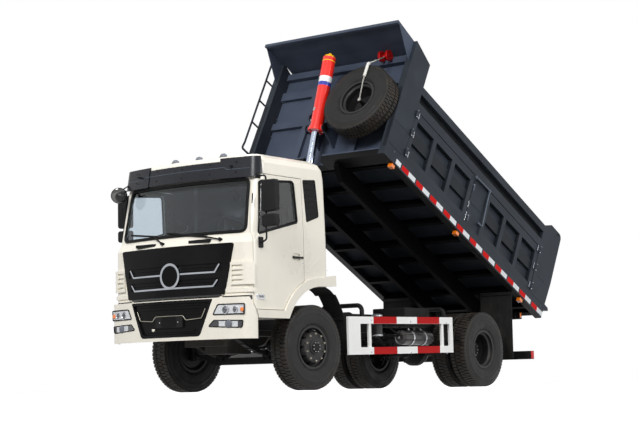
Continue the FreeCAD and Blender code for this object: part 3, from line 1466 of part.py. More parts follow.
def ram_stage(index):
    # Nested chromed sleeves; the last one is the rod with its eye
    top, along, length = ram_line()
    r = ram_radii[index]
    share = (index + 1) / 3.0
    travel = length - ram_closed
    slide = travel * share
    closed_top = -(ram_above - 60)
    start = closed_top + slide
    closed_end = ram_closed - 70 - (2 - index) * 40
    end = closed_end + slide
    if index < 2:
        inner = ram_radii[index + 1] + running_gap * 8
        return spun([(start, inner), (start, r), (end - 30, r), (end - 30, r + 5), (end, r + 5), (end, inner)],
                    top, along)
    rod = spun([(start, 0), (start, r), (length - 30, r), (length - 30, 0)], top, along)
    foot = top + along * length
    eye = bar(foot - place(0, 40, 0), foot + place(0, 40, 0), 52)
    pin = bar(foot - place(0, 58, 0), foot + place(0, 58, 0), ram_pin_radius)
    return fused([rod, eye, pin])


ram_closed = 660.0


def rear_flaps():
    # Flaps that hang behind the rear wheels from the underside of the bed
    hinge = bed_point(flap_u, 0, -14)
    parts = []
    low, high = inner_dual_y - 130, rear_overall / 2 - 60
    sheet = box(hinge.x - 5, hinge.x + 5, low, high, 398, hinge.z)
    tube = bar(place(hinge.x, low, hinge.z), place(hinge.x, high, hinge.z), 14 - seat_gap)
    stiff = box(hinge.x - 8, hinge.x + 8, low, high, hinge.z - 300, hinge.z - 20)
    parts.append(fused([sheet, tube, stiff]))
    return both_sides(parts[0])


flap_u = 330.0 + (front_wall_u - 400) / 8


def build():
    nodes = {}
    nodes["chassis_frame"] = chassis_frame()
    nodes["front_axle"] = front_axle()
    nodes["rear_axle"] = rear_axle()
    nodes["leaf_springs"] = leaf_springs()
    nodes["engine_block"] = engine_block()
    nodes["fuel_tank"] = fuel_tank()
    nodes["air_tanks"] = air_tanks()
    nodes["battery_box"] = battery_box()
    nodes["side_guards"] = side_guards()
    nodes["guard_stays"] = guard_stays()
    nodes["front_flaps"] = front_flaps()
    nodes["underrun_bar"] = underrun_bar()
    nodes["tail_lamps"] = tail_lamps()
    nodes["front_bumper"] = front_bumper()
    nodes["bumper_grille"] = bumper_grille()
    nodes["headlamps"] = headlamps()
    nodes["cab_shell"] = cab_shell()
    nodes["windscreen"] = windscreen()
    nodes["sun_visor"] = sun_visor()
    nodes["roof_lamps"] = roof_lamps()
    nodes["wipers"] = wipers()
    nodes["quarter_vents"] = quarter_vents()
    nodes["seats"] = seats()
    nodes["dashboard"] = dashboard()
    nodes["grille_panel"] = grille_panel()
    nodes["grille_trim"] = grille_trim()
    for name, side in (("left", 1), ("right", -1)):
        nodes["door_" + name] = door(side)
        nodes["door_glass_" + name] = door_glass(side)
        nodes["mirrors_" + name] = mirror_set(side)
        hub = place(0, side * half_wheel_track, tyre_radius)
        nodes["knuckle_" + name] = knuckle(side)
        nodes["tyre_front_" + name] = steered(tyre(hub, side), side)
        nodes["rim_front_" + name] = steered(front_rim(side), side)
        duals = [tyre(place(rear_axle_x, side * y, tyre_radius), side) for y in (outer_dual_y, inner_dual_y)]
        nodes["tyres_rear_" + name] = group(duals)
        nodes["rims_rear_" + name] = rear_rims(side)
        for which in ("front", "rear"):
            nodes["gate_" + which + "_" + name] = side_gate(which, side)
    nodes["bed_floor"] = bed_floor()
    nodes["bed_sides"] = bed_sides()
    nodes["bed_front_wall"] = bed_front_wall()
    nodes["side_lamps"] = side_lamps()
    nodes["tailgate"] = tailgate()
    nodes["spare_tyre"] = spare_tyre()
    nodes["spare_rim"] = spare_rim()
    nodes["spare_hoist"] = spare_hoist()
    nodes["ladder"] = ladder()
    nodes["ram_tube"] = ram_tube()
    for index in range(3):
        nodes["ram_stage_" + str(index + 1)] = ram_stage(index)
    nodes["rear_flaps"] = rear_flaps()
    return nodes


def centre_shift(nodes):
    # The lorry's own centre: half way from the bumper's face to the raised tail's rear edge
    front = max(nodes[name].optimalBoundingBox().XMax for name in ("front_bumper", "bumper_grille", "headlamps"))
    rear = min(nodes[name].optimalBoundingBox().XMin for name in ("bed_sides", "tailgate"))
    return -(front + rear) / 2


def write(nodes, shift):
    os.makedirs("parts", exist_ok=True)
    for name, shape in nodes.items():
        moved = shape.copy()
        moved.translate(place(shift, 0, 0))
        moved.exportStep("parts/" + name + ".step")
        bounds = moved.BoundBox
        print(name, "solids", len(moved.Solids), "valid", moved.isValid(),
              "x %.0f..%.0f y %.0f..%.0f z %.0f..%.0f" % (bounds.XMin, bounds.XMax, bounds.YMin, bounds.YMax,
                                                         bounds.ZMin, bounds.ZMax),
              "volume %.4f" % (moved.Volume / 1e9))


lorry = build()
shift_x = centre_shift(lorry)
write(lorry, shift_x)
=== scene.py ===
import bpy
import json
import math
from mathutils import Matrix, Vector


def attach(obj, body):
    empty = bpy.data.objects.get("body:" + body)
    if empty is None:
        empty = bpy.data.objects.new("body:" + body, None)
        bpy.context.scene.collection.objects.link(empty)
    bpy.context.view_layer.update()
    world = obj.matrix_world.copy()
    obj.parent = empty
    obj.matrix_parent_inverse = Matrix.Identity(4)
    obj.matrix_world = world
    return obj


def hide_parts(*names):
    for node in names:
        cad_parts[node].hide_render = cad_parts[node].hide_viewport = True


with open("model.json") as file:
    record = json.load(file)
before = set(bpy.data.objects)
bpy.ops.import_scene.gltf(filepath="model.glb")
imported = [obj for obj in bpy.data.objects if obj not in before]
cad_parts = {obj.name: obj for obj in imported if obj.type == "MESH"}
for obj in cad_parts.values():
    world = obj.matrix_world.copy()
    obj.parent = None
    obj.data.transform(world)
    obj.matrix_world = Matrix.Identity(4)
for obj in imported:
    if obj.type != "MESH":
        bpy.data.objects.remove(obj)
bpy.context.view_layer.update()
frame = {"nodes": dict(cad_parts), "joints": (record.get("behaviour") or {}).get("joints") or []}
nodes = frame["nodes"]
joints = {joint["name"]: joint for joint in frame["joints"]}
sides = ((1, "left"), (-1, "right"))

# Metres and degrees
centre_x = joints["steer_left"]["pos_m"][0]
bed_origin = (centre_x - 5.4288, 0.0, 1.0022)
bed_tilt = 27.57
steer_at_rest = -4
emblem_z = 1.405
emblem_radius = 0.129

# Millimetres from the front axle's middle on the ground
wheel_base = 3833
axle_z = 525
kingpin_y = 870
front_wheel_y = 995
rear_wheel_y = 910.5
twin_half = 162


# Shader helpers

class Value:
    # An output in a shader tree, with the sums that masks are made of
    def __init__(self, tree, socket):
        self.tree = tree
        self.socket = socket

    def maths(self, operation, other=0.0, clamp=False):
        return shader(self.tree, "Math", {0: self, 1: other}, operation=operation, use_clamp=clamp)

    def __add__(self, other):
        return self.maths("ADD", other)

    def __sub__(self, other):
        return self.maths("SUBTRACT", other)

    def __mul__(self, other):
        return self.maths("MULTIPLY", other)

    def __gt__(self, other):
        return self.maths("GREATER_THAN", other)

    def __lt__(self, other):
        return self.maths("LESS_THAN", other)

    def __or__(self, other):
        return self.maths("MAXIMUM", other)

    def __abs__(self):
        return self.maths("ABSOLUTE")

    def __invert__(self):
        return shader(self.tree, "Math", {0: 1.0, 1: self}, operation="SUBTRACT")

    def within(self, low, high, soft=0.0008):
        # One inside low..high, nought outside
        rise = shader(self.tree, "MapRange", {0: self, 1: low - soft, 2: low + soft})
        fall = shader(self.tree, "MapRange", {0: self, 1: high - soft, 2: high + soft, 3: 1.0, 4: 0.0})
        return rise * fall

    def ramp(self, low, high):
        return shader(self.tree, "MapRange", {0: self, 1: low, 2: high}, interpolation_type="SMOOTHSTEP")


def plug(tree, socket, value):
    if isinstance(value, Value):
        tree.links.new(value.socket, socket)
    else:
        socket.default_value = value


def shader(tree, kind, values=None, output=0, **settings):
    # Adds a node and gives back one of its outputs
    node = tree.nodes.new("ShaderNode" + kind)
    for key, value in settings.items():
        setattr(node, key, value)
    for key, value in (values or {}).items():
        plug(tree, node.inputs[key], value)
    return Value(tree, node.outputs[output])


def own_place(tree):
    return shader(tree, "TexCoord", output="Object")


def axes_of(tree, place):
    node = tree.nodes.new("ShaderNodeSeparateXYZ")
    plug(tree, node.inputs[0], place)
    return [Value(tree, output) for output in node.outputs]


def mixed(tree, share, a, b):
    return shader(tree, "Mix", {0: share, 6: a, 7: b}, output=2, data_type="RGBA")


def noise(tree, place, scale, detail=3.0, rough=0.55):
    return shader(tree, "TexNoise", {"Vector": place, "Scale": scale, "Detail": detail, "Roughness": rough})


def bump(tree, height, strength, distance):
    return shader(tree, "Bump", {"Height": height, "Strength": strength, "Distance": distance})


def srgb(red, green, blue):
    def lift(value):
        share = value / 255.0
        return share / 12.92 if share <= 0.04045 else ((share + 0.055) / 1.055) ** 2.4
    return (lift(red), lift(green), lift(blue), 1.0)


black = (0.0, 0.0, 0.0, 1)
grey = (0.5, 0.5, 0.5, 1)
dust_brown = (0.30, 0.27, 0.23, 1)
socket_kinds = {"colour": "NodeSocketColor", "value": "NodeSocketFloat", "vector": "NodeSocketVector"}


def new_group(name, inputs):
    tree = bpy.data.node_groups.new(name, "ShaderNodeTree")
    for label, kind, start in inputs:
        socket = tree.interface.new_socket(name=label, in_out="INPUT", socket_type=socket_kinds[kind])
        socket.default_value = start
    source = tree.nodes.new("NodeGroupInput")
    return tree, [Value(tree, source.outputs[label]) for label, kind, start in inputs]


def close_group(tree, outputs):
    for label, kind, value in outputs:
        tree.interface.new_socket(name=label, in_out="OUTPUT", socket_type=socket_kinds[kind])
    target = tree.nodes.new("NodeGroupOutput")
    for label, kind, value in outputs:
        tree.links.new(value.socket, target.inputs[label])
    return tree


def make_dust_group():
    # Pale dust that thickens towards the wheels, with runs and blotches
    tree, given = new_group("road_dust", [("Base", "colour", grey), ("Dust", "colour", dust_brown),
                                          ("Amount", "value", 0.2), ("Low", "value", 0.3),
                                          ("High", "value", 1.8)])
    base, dust, amount, low, high = given
    place = own_place(tree)
    height = axes_of(tree, place)[2]
    depth = shader(tree, "MapRange", {0: height, 1: high, 2: low, 3: 0.25, 4: 1.0})
    blotch = noise(tree, place, 5.0, 5.0, 0.62).ramp(0.32, 0.72)
    streaks = shader(tree, "Mapping", {0: place, 3: (9.0, 9.0, 0.8)})
    runs = noise(tree, streaks, 2.2, 3.0, 0.6).ramp(0.38, 0.75)
    mask = ((blotch * 0.65 + runs * 0.35) * depth).maths("MULTIPLY", amount, True)
    return close_group(tree, [("Color", "colour", mixed(tree, mask, base, dust)), ("Mask", "value", mask)])


def make_grain_group():
    # Fine moulded or orange-peel grain
    tree, given = new_group("surface_grain", [("Scale", "value", 300.0), ("Strength", "value", 0.1),
                                              ("Distance", "value", 0.001)])
    scale, strength, distance = given
    grain = noise(tree, own_place(tree), scale, 2.0, 0.5)
    return close_group(tree, [("Normal", "vector", bump(tree, grain, strength, distance))])


def make_bed_group():
    # Place on the raised bed: along it, across it and up from its sill
    tree, given = new_group("bed_place", [])
    tilt = (0.0, -math.radians(bed_tilt), 0.0)
    place = shader(tree, "Mapping", {0: own_place(tree), 1: bed_origin, 2: tilt}, vector_type="TEXTURE")
    along, across, up = axes_of(tree, place)
    return close_group(tree, [("Along", "value", along), ("Across", "value", across), ("Up", "value", up),
                              ("Place", "vector", place)])


def make_patch_group():
    # Slow drift of a colour to a paler and a darker tone
    tree, given = new_group("paint_patches", [("Paler", "colour", grey), ("Darker", "colour", grey)])
    paler, darker = given
    patches = noise(tree, own_place(tree), 1.7, 4.0).ramp(0.3, 0.7)
    return close_group(tree, [("Color", "colour", mixed(tree, patches, darker, paler)),
                              ("Mask", "value", patches)])


def make_brush_group():
    # Fine drawn lines and finger smudges of bare metal
    tree, given = new_group("metal_brush", [("Base", "colour", grey), ("Stretch", "vector", (1.0, 1.0, 1.0)),
                                            ("Strength", "value", 0.1)])
    base, stretch, strength = given
    place = own_place(tree)
    lines = noise(tree, shader(tree, "Mapping", {0: place, 3: stretch}), 60.0, 4.0)
    smudge = noise(tree, place, 6.0, 4.0)
    colour = mixed(tree, smudge.ramp(0.3, 0.7), mixed(tree, 0.14, base, black), base)
    return close_group(tree, [("Color", "colour", colour), ("Smudge", "value", smudge),
                              ("Normal", "vector", bump(tree, lines, strength, 0.0005))])


def make_lens_group():
    # Moulded ribs and cells of a lamp lens
    tree, given = new_group("lens_ribs", [("Base", "colour", grey), ("Depth", "value", 0.28)])
    base, depth = given
    place = own_place(tree)
    ribs = shader(tree, "TexWave", {"Vector": place, "Scale": 22.0, "Distortion": 0.0}, output="Fac",
                  bands_direction="Y")
    colour = mixed(tree, noise(tree, place, 40.0).ramp(0.3, 0.7), mixed(tree, depth, base, black), base)
    return close_group(tree, [("Color", "colour", colour),
                              ("Normal", "vector", bump(tree, ribs, 0.5, 0.003))])


def make_rubber_group():
    # Worn rubber: blotches of road dust and a fine grain
    tree, (dusted,) = new_group("worn_rubber", [("Dusted", "colour", (0.1, 0.1, 0.1, 1))])
    place = own_place(tree)
    blotch = noise(tree, place, 9.0, 6.0, 0.65).ramp(0.3, 0.72)
    colour = mixed(tree, blotch * 0.75, srgb(16, 16, 16), dusted)
    return close_group(tree, [("Color", "colour", colour), ("Mask", "value", blotch),
                              ("Normal", "vector", bump(tree, noise(tree, place, 420.0), 0.35, 0.0012))])


dust_group = make_dust_group()
grain_group = make_grain_group()
bed_group = make_bed_group()
patch_group = make_patch_group()
brush_group = make_brush_group()
lens_group = make_lens_group()
rubber_group = make_rubber_group()


# Finishes

finishes = {}


class Finish:
    # One material, kept in the finishes by its name
    def __init__(self, name):
        material = bpy.data.materials.new(name)
        material.use_nodes = True
        self.tree = material.node_tree
        self.bsdf = self.tree.nodes["Principled BSDF"]
        finishes[name] = material

    def group(self, group, values=None):
        # The group's outputs by their labels
        node = self.tree.nodes.new("ShaderNodeGroup")
        node.node_tree = group
        for key, value in (values or {}).items():
            plug(self.tree, node.inputs[key], value)
        return {output.name: Value(self.tree, output) for output in node.outputs}

    def axes(self):
        return axes_of(self.tree, own_place(self.tree))

    def bed_axes(self):
        place = self.group(bed_group)
        return place["Along"], place["Across"], place["Up"]

    def mix(self, share, a, b):
        return mixed(self.tree, share, a, b)

    def feed(self, values):
        for key, value in values.items():
            plug(self.tree, self.bsdf.inputs[key], value)

    def cover(self, share, colour):
        # Lays another colour over what already feeds the base colour
        link = self.bsdf.inputs["Base Color"].links[0]
        below = Value(self.tree, link.from_socket)
        self.tree.links.remove(link)
        self.feed({"Base Color": self.mix(share, below, colour)})


def painted(name, colour, roughness=0.35, coat=0.0, dust=0.2, dust_colour=dust_brown,
            grain=(220.0, 0.06, 0.001), low=0.3, high=1.8, fade=0.06, shine=0.3):
    finish = Finish(name)
    paler = tuple(min(1.0, c * (1 + fade) + fade * 0.05) for c in colour[:3]) + (1.0,)
    darker = tuple(c * (1 - fade) for c in colour[:3]) + (1.0,)
    drift = finish.group(patch_group, {"Paler": paler, "Darker": darker})
    dusty = finish.group(dust_group, {"Base": drift["Color"], "Dust": dust_colour, "Amount": dust, "Low": low,
                                      "High": high})
    peel = finish.group(grain_group, {"Scale": grain[0], "Strength": grain[1], "Distance": grain[2]})
    rough = (dusty["Mask"] * 0.45).maths("ADD", drift["Mask"] * 0.05, True).maths("ADD", roughness, True)
    finish.feed({"Base Color": dusty["Color"], "Roughness": rough, "Normal": peel["Normal"],
                 "Specular IOR Level": shine})
    if coat:
        finish.feed({"Coat Weight": coat, "Coat Roughness": 0.08})
    return finish


def moulded(name, colour, roughness=0.45, grain=(700.0, 0.25, 0.0006), dust=0.12, shine=0.1):
    return painted(name, colour, roughness, 0.0, dust, srgb(96, 90, 84), grain, fade=0.08, shine=shine)


def metal(name, colour, roughness, strength=0.08, stretch=(1.0, 1.0, 1.0)):
    finish = Finish(name)
    brush = finish.group(brush_group, {"Base": colour, "Stretch": stretch, "Strength": strength})
    rough = (brush["Smudge"] * 0.12).maths("ADD", roughness - 0.05, True)
    finish.feed({"Base Color": brush["Color"], "Normal": brush["Normal"], "Roughness": rough,
                 "Metallic": 1.0})
    return finish


def tyre_rubber(name, brown):
    finish = Finish(name)
    worn = finish.group(rubber_group, {"Dusted": brown})
    finish.feed({"Base Color": worn["Color"], "Normal": worn["Normal"], "Specular IOR Level": 0.25,
                 "Roughness": worn["Mask"] * 0.3 + 0.48})


def lens(name, colour, clear=0.35, roughness=0.06, depth=0.28):
    # Moulded lens with fine ribs over a bright reflector
    finish = Finish(name)
    ribs = finish.group(lens_group, {"Base": colour, "Depth": depth})
    finish.feed({"Base Color": ribs["Color"], "Normal": ribs["Normal"], "Metallic": clear,
                 "Roughness": roughness, "Coat Weight": 1.0, "Coat Roughness": 0.03})
    return finish


def tinted_glass(name, tint, shine, shade_z=None):
    # Clear glass, with a green shade band along its top
    finish = Finish(name)
    place = own_place(finish.tree)
    streaks = noise(finish.tree, place, 3.0).ramp(0.3, 0.7)
    colour = finish.mix(streaks * 0.06, tint, srgb(176, 182, 184))
    if shade_z:
        height = axes_of(finish.tree, place)[2]
        colour = finish.mix(height.ramp(*shade_z), colour, srgb(10, 62, 60))
    ripple = bump(finish.tree, noise(finish.tree, place, 1.4), 0.15, 0.02)
    finish.feed({"Base Color": colour, "Metallic": 0.0, "Roughness": 0.02, "Transmission Weight": 1.0,
                 "IOR": 1.45, "Specular IOR Level": shine, "Normal": ripple})


def cab_paint(name):
    return painted(name, srgb(231, 226, 213), 0.26, 0.5, 0.12, srgb(170, 158, 142), (90.0, 0.03, 0.0006),
                   low=0.7, high=1.5, fade=0.02, shine=0.5)


def make_cab_cream():
    # Grey lining inside, and the black joint above the bumper
    finish = cab_paint("cab_cream")
    along, across, height = finish.axes()
    along = along - centre_x
    across = abs(across)
    inner_side = (across + (height - 1.88) * 0.0376) < 1.088
    room = inner_side * along.within(-0.27, 0.95) * height.within(1.30, 2.78)
    roof = (across < 0.88) * along.within(-0.05, 0.86) * height.within(1.30, 2.85)
    finish.cover(room | roof, srgb(30, 34, 42))
    joint = ((across < 0.735) * height.within(1.08, 1.1535)) | height.within(1.08, 1.1335)
    finish.cover(joint * (along > 1.16), srgb(16, 16, 17))


def bed_paint(name, colour, shine=0.12, underside=0.0905):
    finish = painted(name, colour, 0.46, 0.0, 0.05, srgb(88, 86, 84), (60.0, 0.10, 0.0012), low=0.9, high=4.5,
                     fade=0.12, shine=shine)
    along, across, up = finish.bed_axes()
    # Painted near black below the sill: partly the bed's black undercoat, partly painted shade under the bed
    finish.cover(up < underside, srgb(10, 11, 12))
    # Painted shade: the recessed cells of the panels are darkened, except on the fixed panel
    fixed_panel = along.within(2.03, 2.46)
    cells = abs(across).within(1.15, 1.2045) * up.within(0.12, 1.09) * ~fixed_panel
    finish.cover(cells * 0.6, srgb(14, 16, 19))
    return finish


def make_taped_slate():
    # Painted shade in the channel of the top rail, and red and white tape along the sill
    finish = bed_paint("bed_slate_taped", slate, underside=0.004)
    along, across, up = finish.bed_axes()
    reach = abs(across)
    channel_shade = reach.within(1.15, 1.2) * along.within(0.46, 4.094) * up.within(1.0985, 1.2355)
    finish.cover(channel_shade, srgb(13, 16, 19))
    strip = (reach > 1.2165) * along.within(0.0, 4.215) * up.within(0.026, 0.098)
    phase = (along - 0.337).maths("FLOORED_MODULO", 0.3725)
    cells = shader(finish.tree, "TexVoronoi", {"Vector": finish.group(bed_group)["Place"], "Scale": 240.0})
    glint = cells.ramp(0.2, 0.6)
    for low, high, bright, dull in ((0.0325, 0.2025, srgb(236, 238, 240), srgb(214, 218, 222)),
                                    (0.2025, 0.3725, srgb(226, 14, 8), srgb(190, 4, 4))):
        finish.cover(strip * phase.within(low, high), finish.mix(glint, bright, dull))


def make_guard_stripes():
    # Red fields on the rails of the white side guards
    finish = painted("guard_stripes", srgb(244, 245, 243), 0.3, 0.0, 0.12, srgb(150, 142, 130), high=1.1,
                     fade=0.02, shine=0.1)
    along, across, height = finish.axes()
    along = along - centre_x
    height = height + (along + 0.645) * 0.01746
    rails = height.within(0.828, 0.93) | height.within(0.42, 0.528)
    fields = along.within(-1.715, -1.19) | along.within(-2.735, -2.19)
    finish.cover((abs(across) > 1.1405) * rails * fields, srgb(176, 8, 8))


def make_ram_red():
    # Red tube with a yellow cap and two plain printed bands
    finish = painted("ram_red", srgb(240, 38, 26), 0.22, 0.6, 0.05, srgb(150, 90, 80), (80.0, 0.02, 0.0004),
                     low=2.4, high=4.8, fade=0.03)
    from_pin = shader(finish.tree, "VectorMath", {0: own_place(finish.tree), 1: joints["ram_swing"]["pos_m"]},
                      operation="SUBTRACT")
    down = shader(finish.tree, "VectorMath", {0: from_pin, 1: joints["ram_slide_1"]["axis"]}, output="Value",
                  operation="DOT_PRODUCT")
    up = down * -1.0
    for low, high, colour in ((0.688, 0.775, (240, 240, 242)), (0.63, 0.688, (46, 62, 168)),
                              (1.078, 1.4, (250, 190, 20))):
        finish.cover(up.within(low, high), srgb(*colour))


def make_bright_trim():
    # Bright strips, and a black blank inside the bright ring
    finish = metal("bright_trim", srgb(176, 180, 186), 0.12)
    along, across, height = finish.axes()
    rise = height - emblem_z
    blank = (across * across + rise * rise).maths("SQRT") < emblem_radius
    finish.cover(blank, srgb(9, 9, 11))
    finish.feed({"Specular IOR Level": 0.07, "Metallic": ~blank})


def make_visor_slate():
    # The round mirror's shell, at the visor's end, is black
    finish = painted("visor_slate", srgb(19, 21, 29), 0.24, 0.0, 0.03, srgb(120, 116, 110),
                     (300.0, 0.06, 0.0006), low=1.5, high=4.0, shine=0.28)
    away = shader(finish.tree, "VectorMath", {0: own_place(finish.tree), 1: (centre_x + 1.2, -1.043, 2.497)},
                  output="Value", operation="DISTANCE")
    finish.cover(away < 0.135, srgb(20, 20, 22))


def make_hoist_red():
    # Red pulleys with a twisted rope below them
    finish = painted("hoist_red_and_rope", srgb(190, 14, 14), 0.35, 0.2, 0.05, fade=0.08)
    place = finish.group(bed_group)
    strands = shader(finish.tree, "TexWave", {"Vector": place["Place"], "Scale": 26.0, "Distortion": 1.5},
                     output="Fac", bands_direction="DIAGONAL")
    finish.cover(place["Up"] < 1.652, finish.mix(strands, srgb(120, 118, 112), srgb(206, 204, 198)))


def make_front_lamp():
    # Clear lens over its bowl; the fog lamp's two ends are dark
    finish = lens("front_lamp_lens", srgb(214, 217, 220), 0.5, 0.06, 0.15)
    along, across, height = finish.axes()
    finish.cover(~abs(across).within(0.745, 0.992) * (height < 0.88), srgb(44, 46, 50))


slate = srgb(40, 46, 54)
make_cab_cream()
cab_paint("panel_cream")
bed_paint("bed_slate", slate)
make_taped_slate()
# Painted light: a paler copy of the bed's slate, standing in for light on the front wall
bed_paint("lit_wall_slate", srgb(64, 72, 88))
bed_paint("floor_slate", slate, 0.02)
painted("frame_black", srgb(15, 15, 16), 0.5, 0.0, 0.16, srgb(76, 70, 62), (160.0, 0.15, 0.001),
        low=0.2, high=1.5, fade=0.15, shine=0.12)
make_guard_stripes()
make_ram_red()
metal("chrome", srgb(186, 189, 194), 0.10)
make_bright_trim()
metal("ram_chrome", srgb(190, 200, 218), 0.12, 0.015, (1.0, 1.0, 6.0))
metal("zinc", srgb(190, 192, 196), 0.34, 0.2)
metal("nut_bright", srgb(150, 146, 134), 0.38, 0.2)
painted("rim_dark", srgb(30, 30, 32), 0.42, 0.0, 0.28, srgb(84, 76, 66), low=0.0, high=1.6,
        fade=0.10, shine=0.25)
tyre_rubber("tyre_wall", srgb(40, 39, 38))
tyre_rubber("tyre_tread", srgb(64, 55, 46))
moulded("grille_black", srgb(9, 9, 11), 0.3, dust=0.02, shine=0.07)
moulded("trim_black", srgb(15, 15, 17), 0.5)
make_visor_slate()
moulded("rubber_seal", srgb(18, 18, 19), 0.55, (500.0, 0.2, 0.0005), 0.05)
moulded("flap_rubber", srgb(24, 24, 25), 0.7, (260.0, 0.4, 0.0012), 0.3)
painted("tank_black", srgb(24, 24, 26), 0.25, 0.3, 0.22, srgb(96, 88, 78), fade=0.1)
moulded("lamp_grey", srgb(112, 116, 124), 0.3)
moulded("seat_cloth", srgb(40, 41, 47), 0.85, (900.0, 0.6, 0.001), 0.0)
moulded("dash_grey", srgb(48, 50, 56), 0.6, (600.0, 0.3, 0.0006), 0.03)
painted("engine_iron", srgb(30, 30, 31), 0.6, 0.0, 0.5, srgb(96, 84, 70), fade=0.15)
moulded("mirror_black", srgb(20, 20, 22), 0.42)
make_hoist_red()
painted("rope_white", srgb(214, 212, 206), 0.8, 0.0, 0.1, grain=(120.0, 0.8, 0.006), fade=0.08)
lens("lamp_clear", srgb(206, 210, 214), 0.6)
make_front_lamp()
lens("lamp_amber", srgb(252, 128, 14), 0.0, 0.2, 0.1)
lens("lamp_red", srgb(190, 16, 14), 0.1)
lens("lamp_bowl", srgb(60, 64, 72), 0.4)
painted("cap_yellow", srgb(250, 190, 20), 0.3, 0.3, 0.05, fade=0.04)
painted("tape_red", srgb(200, 14, 12), 0.4, 0.1, 0.1, fade=0.06)
# Painted highlight: a paler slate on the bed's fittings and the visor's crease, standing in for the light
# they catch
painted("slate_painted_highlight", srgb(74, 84, 98), 0.36, 0.1, 0.10, srgb(116, 110, 102), fade=0.1)
tinted_glass("screen_glass", srgb(206, 220, 232), 0.3, (2.44, 2.50))
tinted_glass("side_glass", srgb(238, 240, 240), 0.15)
metal("mirror_glass", srgb(200, 206, 214), 0.05)
metal("round_mirror_glass", srgb(92, 92, 90), 0.05)

node_finishes = {
    "cab_cream": ("cab_shell", "door_left", "door_right"),
    "panel_cream": ("front_bumper",),
    "floor_slate": ("bed_floor",),
    "lit_wall_slate": ("bed_front_wall",),
    "bed_slate": ("tailgate", "gate_front_left", "gate_front_right", "gate_rear_left", "gate_rear_right",
                  "ladder"),
    "bed_slate_taped": ("bed_sides",),
    "frame_black": ("chassis_frame", "front_axle", "rear_axle", "leaf_springs", "guard_stays", "underrun_bar",
                    "knuckle_left", "knuckle_right"),
    "guard_stripes": ("side_guards",),
    "ram_red": ("ram_tube",),
    "ram_chrome": ("ram_stage_1", "ram_stage_2", "ram_stage_3"),
    "bright_trim": ("grille_trim",),
    "rim_dark": ("rim_front_left", "rim_front_right", "rims_rear_left", "rims_rear_right", "spare_rim"),
    "tyre_wall": ("tyre_front_left", "tyre_front_right", "tyres_rear_left", "tyres_rear_right", "spare_tyre"),
    "grille_black": ("grille_panel", "bumper_grille"),
    "trim_black": ("wipers", "quarter_vents", "battery_box", "tail_lamps"),
    "visor_slate": ("sun_visor",),
    "lamp_grey": ("roof_lamps",),
    "flap_rubber": ("front_flaps", "rear_flaps"),
    "tank_black": ("fuel_tank", "air_tanks"),
    "front_lamp_lens": ("headlamps",),
    "lamp_amber": ("side_lamps",),
    "screen_glass": ("windscreen",),
    "side_glass": ("door_glass_left", "door_glass_right"),
    "seat_cloth": ("seats",),
    "dash_grey": ("dashboard",),
    "engine_iron": ("engine_block",),
    "mirror_black": ("mirrors_left", "mirrors_right"),
    "hoist_red_and_rope": ("spare_hoist",),
}


def paint(piece, finish):
    piece.data.materials.clear()
    piece.data.materials.append(finishes[finish])
    return piece


for finish, names in node_finishes.items():
    for name in names:
        paint(nodes[name], finish)


# Places and turns

def at(x, y, z):
    # Millimetres from the front axle's middle on the ground
    return Vector((centre_x + x * 0.001, y * 0.001, z * 0.001))


def bed_mm(u, y, v):
    # Millimetres along, across and up on the lowered bed
    return Vector((u * 0.001, y * 0.001, v * 0.001))


def points_at(*points):
    return [at(*point) for point in points]


def bed_points(*points):
    return [bed_mm(*point) for point in points]


def turn(degrees, axis):
    return Matrix.Rotation(math.radians(degrees), 4, axis)


def about(pin, matrix):
    return Matrix.Translation(pin) @ matrix @ Matrix.Translation(-pin)


def ring_of(count, radius, out, start=0.0):
    # Places on a ring about the Y axis
    turns = [2 * math.pi * (i + start) / count for i in range(count)]
    return [Vector((radius * math.sin(angle), out, radius * math.cos(angle))) for angle in turns]


bed_matrix = Matrix.Translation(bed_origin) @ turn(-bed_tilt, "Y")
mirror_y = Matrix.Diagonal((1, -1, 1, 1))


# Modelling helpers

def select_only(*pieces):
    bpy.ops.object.select_all(action="DESELECT")
    for piece in pieces:
        piece.select_set(True)
    bpy.context.view_layer.objects.active = pieces[0]


def mark_faces(piece, test):
    # Selects the faces whose centre and normal pass the test
    mesh = piece.data
    for group in (mesh.vertices, mesh.edges, mesh.polygons):
        group.foreach_set("select", [False] * len(group))
    for face in mesh.polygons:
        face.select = bool(test(face.center, face.normal))


def edit_mode(*selects):
    bpy.context.tool_settings.mesh_select_mode = selects or (False, False, True)
    bpy.ops.object.mode_set(mode="EDIT")


def object_mode():
    bpy.ops.object.mode_set(mode="OBJECT")


def face_outwards():
    # Ends edit mode with every normal pointing out
    bpy.ops.mesh.select_all(action="SELECT")
    bpy.ops.mesh.normals_make_consistent(inside=False)
    object_mode()


def apply_modifier(piece, kind, **settings):
    modifier = piece.modifiers.new(kind.lower(), kind)
    for key, value in settings.items():
        setattr(modifier, key, value)
    bpy.ops.object.modifier_apply(modifier=modifier.name)


def slab(finish, place, size, soften=0.004, facing=None, border=0.0, sunk=0.0, steps=2):
    # A softened plate or bar, with a panel sunk into one face
    bpy.ops.object.select_all(action="DESELECT")
    bpy.ops.mesh.primitive_cube_add(size=1, location=place, scale=size)
    piece = bpy.context.active_object
    bpy.ops.object.transform_apply(location=True, rotation=True, scale=True)
    if facing:
        facing = Vector(facing)
        mark_faces(piece, lambda centre, normal: normal.dot(facing) > 0.9)
    edit_mode()
    if facing:
        bpy.ops.mesh.inset(thickness=border)
        bpy.ops.transform.translate(value=facing * -sunk)
    bpy.ops.mesh.select_all(action="SELECT")
    bpy.ops.mesh.bevel(offset=soften, segments=steps, affect="EDGES")
    object_mode()
    return paint(piece, finish)


